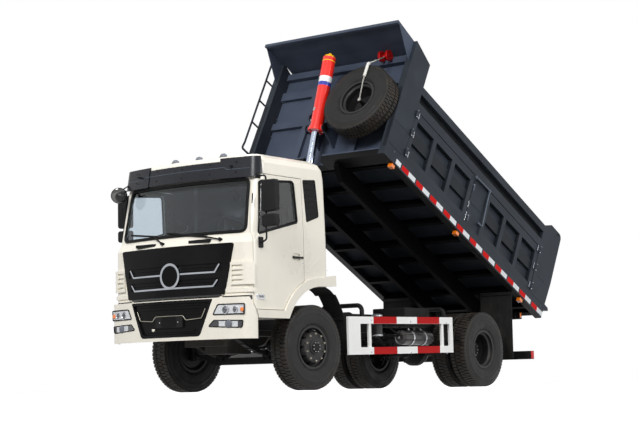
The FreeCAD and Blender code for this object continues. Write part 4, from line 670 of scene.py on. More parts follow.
def turned_form(finish, profile, place, axis, steps=24, filled=True):
    # A ring drawn out along its axis through one (radius, height) after another
    bpy.ops.object.select_all(action="DESELECT")
    bpy.ops.mesh.primitive_circle_add(vertices=steps, radius=profile[0][0], location=(0, 0, profile[0][1]),
                                      fill_type="NGON" if filled else "NOTHING")
    piece = bpy.context.active_object
    bpy.ops.object.transform_apply(location=True, rotation=True, scale=True)
    edit_mode(False, True, False)
    bpy.ops.mesh.select_all(action="SELECT")
    for (near, low), (far, high) in zip(profile, profile[1:]):
        bpy.ops.mesh.extrude_region_move(TRANSFORM_OT_translate={"value": (0, 0, high - low)})
        if far != near:
            bpy.ops.transform.resize(value=(far / near, far / near, 1), center_override=(0, 0, high))
    face_outwards()
    upright = Vector((0, 0, 1)).rotation_difference(Vector(axis)).to_matrix().to_4x4()
    piece.data.transform(Matrix.Translation(Vector(place)) @ upright)
    return paint(piece, finish)


def corner_bend(start, corner, end, steps):
    shares = [k / steps for k in range(steps + 1)]
    return [start * (1 - t) ** 2 + corner * 2 * t * (1 - t) + end * t ** 2 for t in shares]


def rounded_run(points, radius, closed=False, steps=4):
    # Replaces each corner of a run by a soft bend
    last = len(points)
    result = []
    for i, corner in enumerate(points):
        if not closed and i in (0, last - 1):
            result.append(corner)
            continue
        before, after = points[i - 1] - corner, points[(i + 1) % last] - corner
        reach = min(radius, before.length * 0.45, after.length * 0.45)
        start, end = corner + before.normalized() * reach, corner + after.normalized() * reach
        result += corner_bend(start, corner, end, steps)
    return result


def rod(finish, points, radius, closed=False, sides=2):
    # A bar, pipe or rubber strip along a run of points
    curve = bpy.data.curves.new("run", "CURVE")
    curve.dimensions = "3D"
    curve.bevel_depth = radius
    curve.bevel_resolution = sides
    curve.use_fill_caps = not closed
    spline = curve.splines.new("POLY")
    spline.points.add(len(points) - 1)
    for knot, place in zip(spline.points, points):
        knot.co = (place[0], place[1], place[2], 1)
    spline.use_cyclic_u = closed
    piece = bpy.data.objects.new("run", curve)
    bpy.context.scene.collection.objects.link(piece)
    select_only(piece)
    bpy.ops.object.convert(target="MESH")
    piece = bpy.context.active_object
    edit_mode()
    face_outwards()
    return paint(piece, finish)


def plate_between(finish, near, far, thickness):
    # A bent plate between two edges, thickened behind its face
    columns = len(near) - 1
    bpy.ops.object.select_all(action="DESELECT")
    bpy.ops.mesh.primitive_grid_add(x_subdivisions=columns, y_subdivisions=1, size=2, location=(0, 0, 0))
    piece = bpy.context.active_object
    for vertex in piece.data.vertices:
        i = round((vertex.co.x + 1) / 2 * columns)
        vertex.co = near[i] if vertex.co.y < 0 else far[i]
    select_only(piece)
    apply_modifier(piece, "SOLIDIFY", thickness=thickness, offset=-1.0)
    edit_mode()
    face_outwards()
    return paint(piece, finish)


def bolt(finish, place, axis, radius=0.012, height=0.012, sides=6):
    profile = [(radius, 0), (radius, height * 0.8), (radius * 0.82, height)]
    return turned_form(finish, profile, place, axis, sides)


def copy_to(piece, matrix):
    twin = piece.copy()
    twin.data = piece.data.copy()
    bpy.context.scene.collection.objects.link(twin)
    twin.data.transform(matrix)
    if matrix.determinant() < 0:
        twin.data.flip_normals()
    return twin


def both_sides(pieces):
    return pieces + [copy_to(piece, mirror_y) for piece in pieces]


def settle(pieces, name, body, matrix=None, replaced=()):
    # Joins the pieces of one assembly and hangs them on their body
    select_only(*pieces)
    bpy.ops.object.join()
    piece = bpy.context.active_object
    if matrix:
        piece.data.transform(matrix)
    select_only(piece)
    bpy.ops.object.shade_smooth_by_angle(angle=math.radians(38))
    piece.name = name
    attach(piece, body)
    if replaced:
        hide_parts(*replaced)


# Tyres and wheels

tread_steps = 256
tread_pitch = 4
tread_base = 0.5105
tread_top = 0.5245
tread_edge = 0.11
tread_zigzag = 0.009
shoulder_radii = (0.484, 0.505)
tread_lines = (0.1155, 0.0470, 0.0360, 0.0, -0.0360, -0.0470, -0.1155)
tread_rows = ((0.057, 0.120, 0), (-0.029, 0.029, 2), (-0.120, -0.057, 0))
tyre_wall = [(0.2545, 0.099), (0.2730, 0.099), (0.2815, 0.1125), (0.300, 0.1225), (0.303, 0.1262),
             (0.309, 0.1274), (0.330, 0.1318), (0.356, 0.1352), (0.3885, 0.1368), (0.418, 0.1352),
             (0.421, 0.1372), (0.428, 0.1368), (0.4315, 0.1340), (0.4515, 0.1290), (0.470, 0.1256),
             (0.472, 0.1270), (0.480, 0.1258), (0.4825, 0.1228), (0.500, 0.1190)]


def tread_turn(place):
    # How many tread steps round the wheel a place lies
    return (math.atan2(place.y, place.x) % (2 * math.pi)) / (2 * math.pi / tread_steps)


def on_block(centre, normal):
    row = [gap for low, high, gap in tread_rows if low < centre.z < high]
    outside = math.hypot(centre.x, centre.y) > tread_base - 0.003
    return outside and bool(row) and (int(tread_turn(centre)) - row[0]) % tread_pitch >= 1


def make_tyre():
    # Outer and inner walls with raised rings, and a tread of zigzag blocks
    profile = tyre_wall + [(tread_base, line) for line in tread_lines]
    profile += [(radius, -offset) for radius, offset in reversed(tyre_wall)]
    piece = turned_form("tyre_wall", profile, (0, 0, 0), (0, 0, 1), tread_steps, False)
    piece.data.materials.append(finishes["tyre_tread"])
    for vertex in piece.data.vertices:
        radius = math.hypot(vertex.co.x, vertex.co.y)
        if radius > tread_base - 0.002 and abs(vertex.co.z) < tread_edge:
            first_half = int(tread_turn(vertex.co) + 0.5) % tread_pitch < tread_pitch / 2
            vertex.co.z += tread_zigzag if first_half else -tread_zigzag
    mark_faces(piece, on_block)
    low, high = shoulder_radii
    for face in piece.data.polygons:
        on_shoulder = low < math.hypot(face.center.x, face.center.y) < high
        face.material_index = 1 if face.select or on_shoulder else 0
    edit_mode()
    bpy.ops.mesh.extrude_region_move(TRANSFORM_OT_translate={"value": (0, 0, 0)})
    share = tread_top / tread_base
    bpy.ops.transform.resize(value=(share, share, 1), center_override=(0, 0, 0))
    object_mode()
    return piece


def front_wheel_matrix(side):
    steered = about(at(0, side * kingpin_y, axle_z), turn(steer_at_rest, "Z"))
    return steered @ Matrix.Translation(at(0, side * front_wheel_y, axle_z))


def add_tyres():
    tyre = make_tyre()
    upright = turn(-90, "X")
    for side, name in sides:
        front = copy_to(tyre, front_wheel_matrix(side) @ upright)
        twins = [copy_to(tyre, Matrix.Translation(at(-wheel_base, side * y, axle_z)) @ upright)
                 for y in (rear_wheel_y + twin_half, rear_wheel_y - twin_half)]
        for pieces, tyre_node, body in (([front], "tyre_front_", "wheel_front_"),
                                        (twins, "tyres_rear_", "wheels_rear_")):
            node = tyre_node + name
            settle(pieces, node + "_treaded", body + name, replaced=(node,))
    spare = copy_to(tyre, Matrix.Translation(bed_mm(4634, 680, 815)) @ turn(90, "Y"))
    settle([spare], "spare_tyre_treaded", "bed", bed_matrix, ("spare_tyre",))
    bpy.data.objects.remove(tyre)


def hub_parts(side, nuts_out, cap_out, cap, studs):
    # Nuts with stud ends, the hub's cap and the cap's own bolts
    nut = [(0.014784, 0), (0.014784, 0.003), (0.0132, 0.004), (0.0132, 0.018), (0.01056, 0.0205),
           (0.0080, 0.0205), (0.0080, 0.029), (0.006, 0.0305)]
    outwards = (0, side, 0)
    parts = [turned_form("nut_bright", nut, place, outwards, 12)
             for place in ring_of(10, 0.1675, side * nuts_out)]
    parts.append(turned_form("frame_black", cap, (0, side * cap_out, 0), outwards, 40))
    count, circle, out, radius, height = studs
    parts += [bolt("zinc", place, outwards, radius, height)
              for place in ring_of(count, circle, side * out, 0.5)]
    return parts


def add_wheel_details():
    # Nuts, hub caps and valve stems of the four wheels
    front_cap = [(0.072, 0), (0.072, 0.008), (0.066, 0.013), (0.050, 0.015), (0.046, 0.010), (0.020, 0.010)]
    rear_cap = [(0.100, 0), (0.100, 0.012), (0.094, 0.016), (0.052, 0.018), (0.048, 0.026), (0.022, 0.028)]
    for side, name in sides:
        parts = hub_parts(side, 0.1458, 0.1655, front_cap, (8, 0.058, 0.1762, 0.0065, 0.007))
        stem = [Vector((0, side * out, radius))
                for out, radius in ((0.100, 0.222), (0.118, 0.214), (0.150, 0.205))]
        parts.append(rod("zinc", rounded_run(stem, 0.02), 0.004))
        settle(parts, "hub_fittings_front_" + name, "wheel_front_" + name,
               front_wheel_matrix(side))
        parts = hub_parts(side, 0.0145, 0.1035, rear_cap, (10, 0.081, 0.1195, 0.009, 0.010))
        settle(parts, "hub_fittings_rear_" + name, "wheels_rear_" + name,
               Matrix.Translation(at(-wheel_base, side * rear_wheel_y, axle_z)))


# Cab

nose_x = 1358.0
bumper_x = 1428.0
front_bow = 8000.0
waist_z = 1880
screen_rise = 745.0
cab_half = 1128.0
corner_radius = 125.0

screen_corners = [(-1000, 1905, 70), (1000, 1905, 70), (962, 2545, 70), (-962, 2545, 70)]
window_corners = [(988, 2520, 45), (345, 2562, 60), (300, 2052, 40), (1062, 1862, 30)]
vent_corners = [(160, 2590, 20), (-92, 2612, 20), (-132, 2150, 35), (120, 2068, 20)]
lower_corners = [(-664, 1104, 12), (-478, 664, 60), (478, 664, 60), (664, 1104, 12)]
lamp_corners = [(664, 910, 15), (730, 1036, 40), (1086, 1034, 14), (1078, 908, 14)]
fog_corners = [(594, 770, 18), (672, 850, 18), (1062, 838, 14), (1050, 748, 30)]


def cab_face(y, z, proud=0.0):
    # A place on the bowed and raked front of the cab
    front = nose_x
    if 1770 <= z < waist_z:
        front -= 86.0 * (z - 1770) / 110.0
    elif z >= waist_z:
        front -= 86.0 + 148.0 * (z - waist_z) / screen_rise
    return at(front + proud - y * y / front_bow, y, z)


def bumper_face(y, z, proud=0.0):
    return at(bumper_x + proud - y * y / front_bow, y, z)


def flank(side, x, z, proud=0.0):
    # A place on the cab's side, which leans in and rounds off to the front
    half = cab_half - 28.0 * max(0.0, z - waist_z) / screen_rise
    bend = x - 1022.0
    if bend > 0:
        half -= corner_radius - math.sqrt(max(1.0, corner_radius ** 2 - bend ** 2))
    return at(x, side * (half + proud), z)


def outline(corners, steps=6):
    # Flat corner points with their radii, rounded and split into short lengths
    points = []
    for i, (a, b, radius) in enumerate(corners):
        corner = Vector((a, b))
        before = (Vector(corners[i - 1][:2]) - corner).normalized()
        after = (Vector(corners[(i + 1) % len(corners)][:2]) - corner).normalized()
        reach = radius / math.tan(before.angle(after) / 2)
        points += corner_bend(corner + before * reach, corner, corner + after * reach, steps)
    dense = []
    for i, point in enumerate(points):
        after = points[(i + 1) % len(points)]
        parts = max(1, int((after - point).length / 80))
        dense += [point.lerp(after, k / parts) for k in range(parts)]
    return dense


def grown(corners, amount):
    # The same corners, moved out all round
    middle_a = sum(corner[0] for corner in corners) / len(corners)
    middle_b = sum(corner[1] for corner in corners) / len(corners)
    moved = []
    for a, b, radius in corners:
        a += amount if a > middle_a else -amount
        b += amount if b > middle_b else -amount
        moved.append((a, b, radius + amount))
    return moved


def rim_on(face, corners, amount, proud):
    # A closed run on a face, along the grown outline of an opening
    return [face(p.x, p.y, proud) for p in outline(grown(corners, amount))]


def add_seals():
    # Rubber round the windscreen and the door windows
    parts = [rod("rubber_seal", rim_on(cab_face, screen_corners, 6, 3), 0.015, True),
             rod("rubber_seal", rim_on(cab_face, screen_corners, -10, 5), 0.008, True)]
    settle(parts, "windscreen_seal", "cab")
    for side, name in sides:
        def door_face(x, z, proud):
            return flank(side, x, z, proud)

        wiper = [door_face(x, z, 1)
                 for x, z in ((1048, 1868), (900, 1905), (700, 1954), (500, 2003), (320, 2047))]
        parts = [rod("rubber_seal", rim_on(door_face, window_corners, -3, -1), 0.010, True),
                 rod("rubber_seal", rim_on(door_face, window_corners, -14, -12), 0.009, True),
                 rod("rubber_seal", wiper, 0.011)]
        settle(parts, "window_seal_" + name, "door_" + name)


def add_quarter_slats():
    # Slanting slats on the black louvre panel behind each door
    count = 6
    low_z, sill_drop = 2150, 82
    for side, name in sides:
        parts = []
        for i in range(count):
            share = (i + 0.5) / count
            z = low_z + 66 + 410 * (i / count) * 1.02
            slope = -sill_drop / 252.0 * (1 - share) * 200
            y = flank(side, 0, z, -4).y * 1000
            rear = at(-114 + 36 * share, y, z)
            front = at(104 + 42 * share, y, z + slope)
            middle = (rear + front) / 2
            slat = slab("trim_black", middle, (abs(front.x - rear.x), 0.014, 0.010), 0.003)
            lean = math.degrees(math.atan2(front.z - rear.z, front.x - rear.x))
            slat.data.transform(about(middle, turn(-lean, "Y")))
            parts.append(slat)
        rim = [flank(side, p.x, p.y, -2) for p in outline(grown(vent_corners, -2))]
        parts.append(rod("rubber_seal", rim, 0.006, True))
        settle(parts, "quarter_slats_" + name, "cab")


def add_corner_panels():
    # Plain outer half of the louvred corner panels, bent round the cab's corners
    parts = []
    proud, radius, bow = 23.4, 150, 4000
    half = 978 + proud
    bow_middle = nose_x + proud - bow
    middle = bow_middle + math.sqrt((bow - radius) ** 2 - half ** 2)
    first = math.atan2(half, middle - bow_middle) - math.radians(6)
    last = math.radians(65.5)
    angles = [first + (last - first) * k / 14 for k in range(15)]
    for i in range(4):
        low = 1287 + 57.5 * i
        near, far = [[at(middle + radius * math.cos(a), half + radius * math.sin(a), z) for a in angles]
                     for z in (low, low + 37.6)]
        parts.append(plate_between("panel_cream", near, far, 0.018))
    settle(both_sides(parts), "corner_panels", "cab")


def add_arch_guards():
    # Black guards between the front tyres and the cab floor
    run = rounded_run(points_at((330, 0, 1262), (150, 0, 1296), (-50, 0, 1302), (-250, 0, 1284),
                                (-380, 0, 1236), (-446, 0, 1186)), 0.08)
    near, far = [[Vector((p.x, y, p.z)) for p in run] for y in (0.800, 1.100)]
    guard = plate_between("flap_rubber", near, far, 0.004)
    settle(both_sides([guard]), "arch_guards", "chassis")


def add_door_fittings():
    # Handle, lock and side lamp on each door, and the creases pressed in the cab's side
    for side, name in sides:
        parts = [slab("trim_black", at(314, side * 1134, 1620), (0.205, 0.018, 0.031), 0.008, steps=3),
                 turned_form("zinc", [(0.011, 0), (0.011, 0.004), (0.008, 0.006)], at(208, side * 1127, 1557),
                             (0, side, 0), 16)]
        settle(parts, "door_handle_" + name, "door_" + name)
        pin = at(1042, side * 1127, 1118)
        parts = [slab("lamp_clear", pin, (0.136, 0.016, 0.062), 0.006, (0, side, 0), 0.008, -0.003),
                 slab("lamp_amber", at(1036, side * 1134, 1118), (0.080, 0.008, 0.032), 0.003)]
        for part in parts:
            part.data.transform(about(pin, turn(-6 * side, "Z")))
        settle(parts, "side_marker_" + name, "door_" + name)
        upper = points_at((145, side * 1127, 1451), (-146, side * 1127, 1640), (-296, side * 1122, 1690))
        lower = points_at((145, side * 1127, 1451), (-290, side * 1124, 1490))
        parts = [rod("trim_black", points_at((1101, side * 1081, 2352), (1110, side * 1078, 2232)), 0.0075),
                 rod("panel_cream", rounded_run(upper, 0.05), 0.0035), rod("panel_cream", lower, 0.0035)]
        settle(parts, "side_pressings_" + name, "cab")


ahead = (1, 0, 0)


def add_bumper_details():
    # Bright line, rim, mesh, blank plate and towing hook of the lower grille
    left = [(558, 995), (502, 882), (272, 866), (224, 922)]
    line = [bumper_face(y, z, -5) for y, z in left + [(-y, z) for y, z in reversed(left)]]
    parts = [rod("nut_bright", rounded_run(line, 0.02), 0.0055, sides=3),
             rod("grille_black", rim_on(bumper_face, lower_corners, -3, -8), 0.007, True),
             slab("trim_black", bumper_face(0, 846, -8), (0.012, 0.440, 0.130), 0.004, ahead, 0.010, 0.002)]
    parts += [bolt("zinc", bumper_face(y, 846, -4), ahead, 0.008, 0.005) for y in (-150, 150)]
    bars = [(z, 500 + (z - 940) * 0.4, 0.005) for z in (940, 975, 1010, 1046)]
    bars += [(705, 430, 0.006), (735, 430, 0.006)]
    for z, half, radius in bars:
        run = [bumper_face(-half + 2 * half * i / 12, z, -18) for i in range(13)]
        parts.append(rod("grille_black", run, radius))
    parts.append(slab("cab_cream", bumper_face(-262, 760, -8), (0.020, 0.044, 0.030), 0.006))
    settle(parts, "bumper_trim", "cab")


def add_lamp_fittings():
    # Bezels, bowls and bulbs' covers of the headlamps and fog lamps
    eye = [(0.84, 0), (0.78, 0.006), (0.55, 0.012), (0.25, 0.015), (0.05, 0.0155)]
    amber = [(0.028, 0), (0.025, 0.007), (0.014, 0.012), (0.002, 0.013)]
    fog = [(0.052, 0), (0.052, 0.004), (0.045, 0.009), (0.030, 0.013), (0.004, 0.015)]
    for side, name in sides:
        def lamp_rim(corners, proud):
            return [bumper_face(side * p.x, p.y, proud) for p in outline(grown(corners, -4))]

        parts = [rod("trim_black", lamp_rim(lamp_corners, 1), 0.008, True)]
        for y, radius in ((825, 0.046), (956, 0.036)):
            bowl = [(radius * 1.18, 0), (radius * 1.18, 0.006), (radius, 0.008), (radius * 0.86, 0.002)]
            middle = bumper_face(side * y, 966)
            parts += [turned_form("chrome", bowl, middle, ahead, 28),
                      turned_form("lamp_bowl", [(radius * share, z) for share, z in eye], middle, ahead, 28)]
        parts += [turned_form("lamp_amber", amber, bumper_face(side * 1050, 962), ahead, 20),
                  rod("trim_black", lamp_rim(fog_corners, -1), 0.007, True),
                  turned_form("lamp_grey", fog, bumper_face(side * 868, 800, -2), ahead, 28)]
        settle(parts, "lamp_fittings_" + name, "cab")


visor_low_z = 2572
visor_end_y = 588


def visor_face(y, z, proud, end_proud):
    # A place on the leaning visor, whose end blocks stand out
    lean = 58 - 38 * (z - visor_low_z) / 246.0
    if abs(y) > visor_end_y:
        lean += 10 + end_proud
    return at(1122 + lean + proud - y * y / front_bow, y, z)


def add_visor_details():
    # Screws and the pressed crease along the visor, and the round mirror
    screw = [(0.009, 0), (0.009, 0.003), (0.005, 0.0045)]
    spots = [(-820, 2640), (-820, 2760), (-440, 2752), (-440, 2632), (0, 2738), (0, 2626), (440, 2752),
             (440, 2632), (820, 2760), (820, 2640)]
    parts = [turned_form("trim_black", screw, visor_face(y, z, 3, 13), (1, y / 4000, 0.15), 12)
             for y, z in spots]
    crease = [visor_face(y, 2672 if abs(y) > 660 else 2700, 1, 0) for y in range(-1000, 1001, 50)]
    # The crease is a rod in the paler slate, a painted highlight along it
    parts.append(rod("slate_painted_highlight", crease, 0.0035))
    facing = (0.62, 0.62, -0.34)
    middle = at(1200, -1043, 2500)
    shell = [(0.030, -0.050), (0.070, -0.040), (0.094, -0.022), (0.103, -0.004), (0.105, 0.004),
             (0.100, 0.009)]
    glass = [(0.097, 0.004), (0.096, 0.009), (0.082, 0.019), (0.055, 0.028), (0.022, 0.032), (0.002, 0.0325)]
    parts += [turned_form("mirror_black", shell, middle, facing, 40),
              turned_form("round_mirror_glass", glass, middle, facing, 40)]
    settle(parts, "visor_fittings", "cab")


def add_roof_domes():
    # Grey lamp caps on their feet along the roof
    parts = []
    dome_form = [(0.046, 0), (0.046, 0.010), (0.041, 0.030), (0.031, 0.045), (0.015, 0.053), (0.002, 0.055)]
    foot_form = [(0.062, 0), (0.062, 0.006), (0.050, 0.010)]
    for y in (-400, 0, 400):
        dome = turned_form("lamp_grey", dome_form, at(835, y, 2874), (0, 0, 1), 28)
        dome.data.transform(about(at(835, y, 0), Matrix.Diagonal((0.95, 1.15, 1, 1))))
        parts += [dome, turned_form("trim_black", foot_form, at(835, y, 2872), (0, 0, 1), 28)]
    settle(parts, "roof_lamp_domes", "cab", replaced=("roof_lamps",))


def add_mirror_glasses():
    # Glass behind and a pressed groove in front of each mirror's shell
    border = 36
    for side, name in sides:
        low_y, high_y, front = (1205, 1430, 1108) if side > 0 else (1158, 1372, 905)
        middle_y = side * (low_y + high_y) / 2
        width = high_y - low_y - border
        parts = []
        for low, high in ((2120, 2500), (1938, 2088)):
            middle_z, height = (low + high) / 2, high - low - border
            size = (0.006, width * 0.001, height * 0.001)
            parts.append(slab("mirror_glass", at(front - 81, middle_y, middle_z), size, 0.002))
            groove = [at(front - 12, middle_y + width / 2 * a, middle_z + (height / 2 - 12) * b)
                      for a, b in ((-1, -1), (1, -1), (1, 1), (-1, 1))]
            parts.append(rod("mirror_black", rounded_run(groove, 0.03, True), 0.004, True))
        settle(parts, "mirror_glasses_" + name, "door_" + name)


floor_z = 1332.3
seat_y = 520
most_swell = 0.013


def puff_up(block):
    # Blows the block up with cloth, within a limit
    start = [vertex.co.copy() for vertex in block.data.vertices]
    cloth = block.modifiers.new("fill", "CLOTH")
    cloth.settings.use_pressure = True
    cloth.settings.uniform_pressure_force = 4.0
    cloth.settings.effector_weights.gravity = 0.0
    for step in range(1, 21):
        bpy.context.scene.frame_set(step)
    bpy.ops.object.modifier_apply(modifier=cloth.name)
    bpy.context.scene.frame_set(1)
    for vertex, rest in zip(block.data.vertices, start):
        move = vertex.co - rest
        if move.length > most_swell:
            vertex.co = rest + move.normalized() * most_swell


def add_seats():
    # Padded cushions and backs, blown up from slightly smaller shapes
    cushions = [("cushion", at(355, seat_y, floor_z + 305), (0.50, 0.47, 0.085), 0),
                ("back", at(65, seat_y, floor_z + 705), (0.085, 0.45, 0.57), -10.5)]
    for kind, place, size, lean in cushions:
        block = slab("seat_cloth", place, size, 0.03, steps=3)
        block.data.transform(about(place, turn(lean, "Y")))
        select_only(block)
        apply_modifier(block, "REMESH", mode="VOXEL", voxel_size=0.014)
        puff_up(block)
        apply_modifier(block, "SUBSURF", levels=1, render_levels=1)
        paint(block, "seat_cloth")
        for piece, (side, name) in zip(both_sides([block]), sides):
            piece.name = "seat_" + kind + "_" + name
            select_only(piece)
            bpy.ops.object.shade_smooth()
            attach(piece, "cab")
            if kind == "cushion" and name == "left":
                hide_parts("seats")
    parts = []
    for side, name in sides:
        parts.append(slab("dash_grey", at(335, side * seat_y, floor_z + 120), (0.36, 0.37, 0.236), 0.012))
        parts += [slab("zinc", at(335, side * seat_y + dy, floor_z + 6), (0.44, 0.03, 0.012), 0.003)
                  for dy in (-150, 150)]
    settle(parts, "seat_boxes", "cab")


# Bed

outward = (0, 1, 0)
gate_hinge_v = (290, 610, 915)
rear_hinge_u, front_hinge_u = 460, 4084


def hinge_pins():
    # Bright pin ends of the gates' hinges
    pin = [(0.0135, 0), (0.0135, 0.004), (0.010, 0.007)]
    return [turned_form("zinc", pin, bed_mm(u, 1237, v + end), (0, 0, end), 14)
            for u in (rear_hinge_u, front_hinge_u) for v in gate_hinge_v for end in (-47, 47)]


def hinge_leaves(u, inward):
    # Leaves in the paler highlight slate, with bright zinc rods along their edges as painted highlights, and
    # bolts, on one gate
    parts = []
    for v in gate_hinge_v:
        parts.append(slab("slate_painted_highlight", bed_mm(u + inward * 34, 1221, v), (0.060, 0.010, 0.094), 0.003))
        for edge in (6, 62):
            x = u + inward * edge
            parts.append(rod("zinc", bed_points((x, 1227, v - 46), (x, 1227, v + 46)), 0.003))
        parts += [bolt("zinc", bed_mm(u + inward * 42, 1225, v + dv), outward, 0.007, 0.005)
                  for dv in (-24, 24)]
    return parts


def lock_gear():
    # Lock bar with its hooked handle, two latches and the safety chain on the fixed panel
    # The bar, its handle and the latches are in the paler slate of painted highlight
    parts = [rod("slate_painted_highlight", bed_points((2462, 1236, 942), (2028, 1236, 955)), 0.013, sides=3)]
    parts += [slab("slate_painted_highlight", bed_mm(u, 1226, v), (0.030, 0.026, 0.050), 0.004)
              for u, v in ((2440, 943), (2050, 954))]
    handle = bed_points((2040, 1238, 955), (2066, 1244, 900), (2062, 1244, 780), (2034, 1244, 400),
                        (2032, 1244, 372), (2110, 1240, 352))
    parts += [rod("slate_painted_highlight", rounded_run(handle, 0.03), 0.009, sides=3),
              slab("slate_painted_highlight", bed_mm(2076, 1229, 372), (0.105, 0.014, 0.028), 0.004)]
    latch = [(0.019, 0), (0.019, 0.012), (0.013, 0.018)]
    for u, v in ((2425, 822), (2384, 340)):
        parts += [turned_form("slate_painted_highlight", latch, bed_mm(u, 1202, v), outward, 18),
                  slab("slate_painted_highlight", bed_mm(u - 4, 1224, v - 42), (0.017, 0.011, 0.095), 0.004),
                  bolt("zinc", bed_mm(u, 1220, v), outward, 0.010, 0.009)]
    for i in (0, 1, 2, 5, 6, 7, 8):
        u, y = (2446, 1223) if i % 2 else (2449, 1219)
        v = 525 - 36 * i
        parts.append(rod("zinc", bed_points((u, y, v - 15), (u, y, v + 15)), 0.0055))
    parts.append(rod("bed_slate", bed_points((2052, 1200, 560), (2434, 1200, 560)), 0.003))
    return parts


def post_creases():
    # Creases pressed in the end posts, and a bolt on each
    face_y = 1218.5
    runs = [[(60, 526), (350, 526)], [(4110, 560), (4490, 560)], [(4108, 250), (4140, 205), (4490, 205)],
            [(60, 205), (440, 205)]]
    parts = [rod("bed_slate", [bed_mm(u, face_y, v) for u, v in run], 0.0028) for run in runs]
    return parts + [bolt("slate_painted_highlight", bed_mm(u, 1217, 150), outward, 0.012, 0.008) for u in (100, 4300)]


def add_bed_details():
    settle(both_sides(hinge_pins()), "gate_hinge_pins", "bed", bed_matrix)
    for which, u, inward in (("rear", rear_hinge_u, 1), ("front", front_hinge_u, -1)):
        leaves = both_sides(hinge_leaves(u, inward))
        half = len(leaves) // 2
        for pieces, (side, name) in zip((leaves[:half], leaves[half:]), sides):
            gate = "gate_" + which + "_" + name
            settle(pieces, gate + "_hinges", gate, bed_matrix)
    settle(both_sides(lock_gear() + post_creases()), "lock_gear", "bed", bed_matrix)


def add_front_wall_fittings():
    # Tabs and edge of the canopy's lip, wall bolts, trunnion rings and the rope's wrapping
    lip_u, lip_v = 4935, 1893
    parts = [slab("bed_slate", bed_mm(lip_u - 14, y, lip_v - 24), (0.020, 0.050, 0.034), 0.004)
             for y in (-330, 520)]
    lip_edge = [bed_mm(lip_u - 5, y, lip_v - 5) for y in (-1160, 1160)]
    parts.append(rod("bed_slate", lip_edge, 0.004))
    for side, name in sides:
        parts += [bolt("slate_painted_highlight", bed_mm(4297, side * 1098, v), (1, 0, 0), 0.010, 0.008)
                  for v in (700, 1000, 1300, 1600)]
    ring = [(0.062, 0), (0.062, 0.010), (0.052, 0.014)]
    parts += both_sides([turned_form("frame_black", ring, bed_mm(4600, 140, 490), outward, 28)])
    wrap = bed_points((4755, 726, 1366), (4782, 732, 1342), (4790, 740, 1230), (4790, 740, 1120))
    parts.append(rod("rope_white", rounded_run(wrap, 0.04), 0.021, sides=4))
    settle(parts, "front_wall_fittings", "bed", bed_matrix)


def add_ram_details():
    # Stepped cap, collar with bolts, hose and a plain silver plate on the tube
    pin = Vector(joints["ram_swing"]["pos_m"])
    up = -Vector(joints["ram_slide_1"]["axis"]).normalized()
    across = Vector((0, 1, 0))
    front = across.cross(up).normalized()

    def on_ram(rise, aside=0.0, ahead=0.0):
        return pin + up * rise + across * aside + front * ahead

    cap = [(0.0935, 0), (0.0935, 0.012), (0.0900, 0.016)]
    collar = [(0.1065, 0), (0.1065, 0.010), (0.094, 0.012)]
    parts = [turned_form("cap_yellow", cap, on_ram(1.012), up, 40),
             turned_form("ram_red", collar, on_ram(-0.040), up, 40)]
    for i in range(6):
        angle = 2 * math.pi * i / 6
        spot = on_ram(-0.046, 0.094 * math.sin(angle), 0.094 * math.cos(angle))
        parts.append(bolt("zinc", spot, -up, 0.009, 0.008))
    union = [(0.020, 0), (0.020, 0.022), (0.015, 0.026), (0.015, 0.034)]
    parts.append(turned_form("zinc", union, on_ram(0.14, -0.088), -across, 12))
    hose = [on_ram(0.14, -0.122), on_ram(0.14, -0.152), on_ram(0.20, -0.162), on_ram(0.26, -0.172, -0.05),
            on_ram(0.16, -0.172, -0.085)]
    parts.append(rod("rubber_seal", rounded_run(hose, 0.05), 0.010, sides=3))
    facing = (across * -0.35 + front * 0.94).normalized()
    plate = [(0.034, 0), (0.034, 0.002), (0.032, 0.003)]
    parts.append(turned_form("zinc", plate, on_ram(0.265) + facing * 0.0915, facing, 4))
    settle(parts, "ram_fittings", "ram_tube")


# Chassis

upwards = (0, 0, 1)


def add_tank_fittings():
    # Straps, plugs and lids of the air tanks, with their pipes
    parts = []
    tank_rear, tank_length, tank_y, tank_z = -2880, 730, 900, 680
    strap = [(0.1052, 0), (0.1052, 0.034)]
    for share in (0.3, 0.7):
        x = tank_rear + tank_length * share
        parts += [turned_form("zinc", strap, at(x - 17, tank_y, tank_z), (1, 0, 0), 48),
                  slab("zinc", at(x, tank_y, 790), (0.034, 0.030, 0.020), 0.004),
                  bolt("zinc", at(x, tank_y, 800), upwards, 0.009, 0.012)]
    for end, way in ((tank_rear - 2, -1), (tank_rear + tank_length + 2, 1)):
        parts.append(bolt("zinc", at(end, tank_y, tank_z), (way, 0, 0), 0.016, 0.014))
    lid = [(0.074, 0), (0.074, 0.018), (0.060, 0.030), (0.028, 0.040), (0.010, 0.042)]
    band = [(0.0705, 0), (0.074, 0.004), (0.074, 0.012), (0.0705, 0.016)]
    parts += [turned_form("zinc", lid, at(-1760, 820, 958), upwards, 32),
              turned_form("zinc", band, at(-1760, 820, 700), upwards, 32)]
    pipes = [(0.010, (-1760, 750, 930), (-1760, 690, 930), (-1900, 640, 900), (-2080, 560, 860),
              (-2150, 520, 780)),
             (0.008, (-2149, 900, 720), (-2090, 900, 740), (-2010, 860, 800), (-1900, 800, 880),
              (-1830, 800, 900)),
             (0.007, (-2300, 850, 770), (-2300, 780, 850), (-2350, 640, 880), (-2500, 450, 880)),
             (0.009, (-1690, 820, 720), (-1640, 810, 700), (-1500, 700, 690), (-1300, 560, 720),
              (-1200, 450, 740))]
    parts += [rod("rubber_seal", rounded_run(points_at(*run), 0.06), radius) for radius, *run in pipes]
    settle(parts, "air_line_fittings", "chassis")


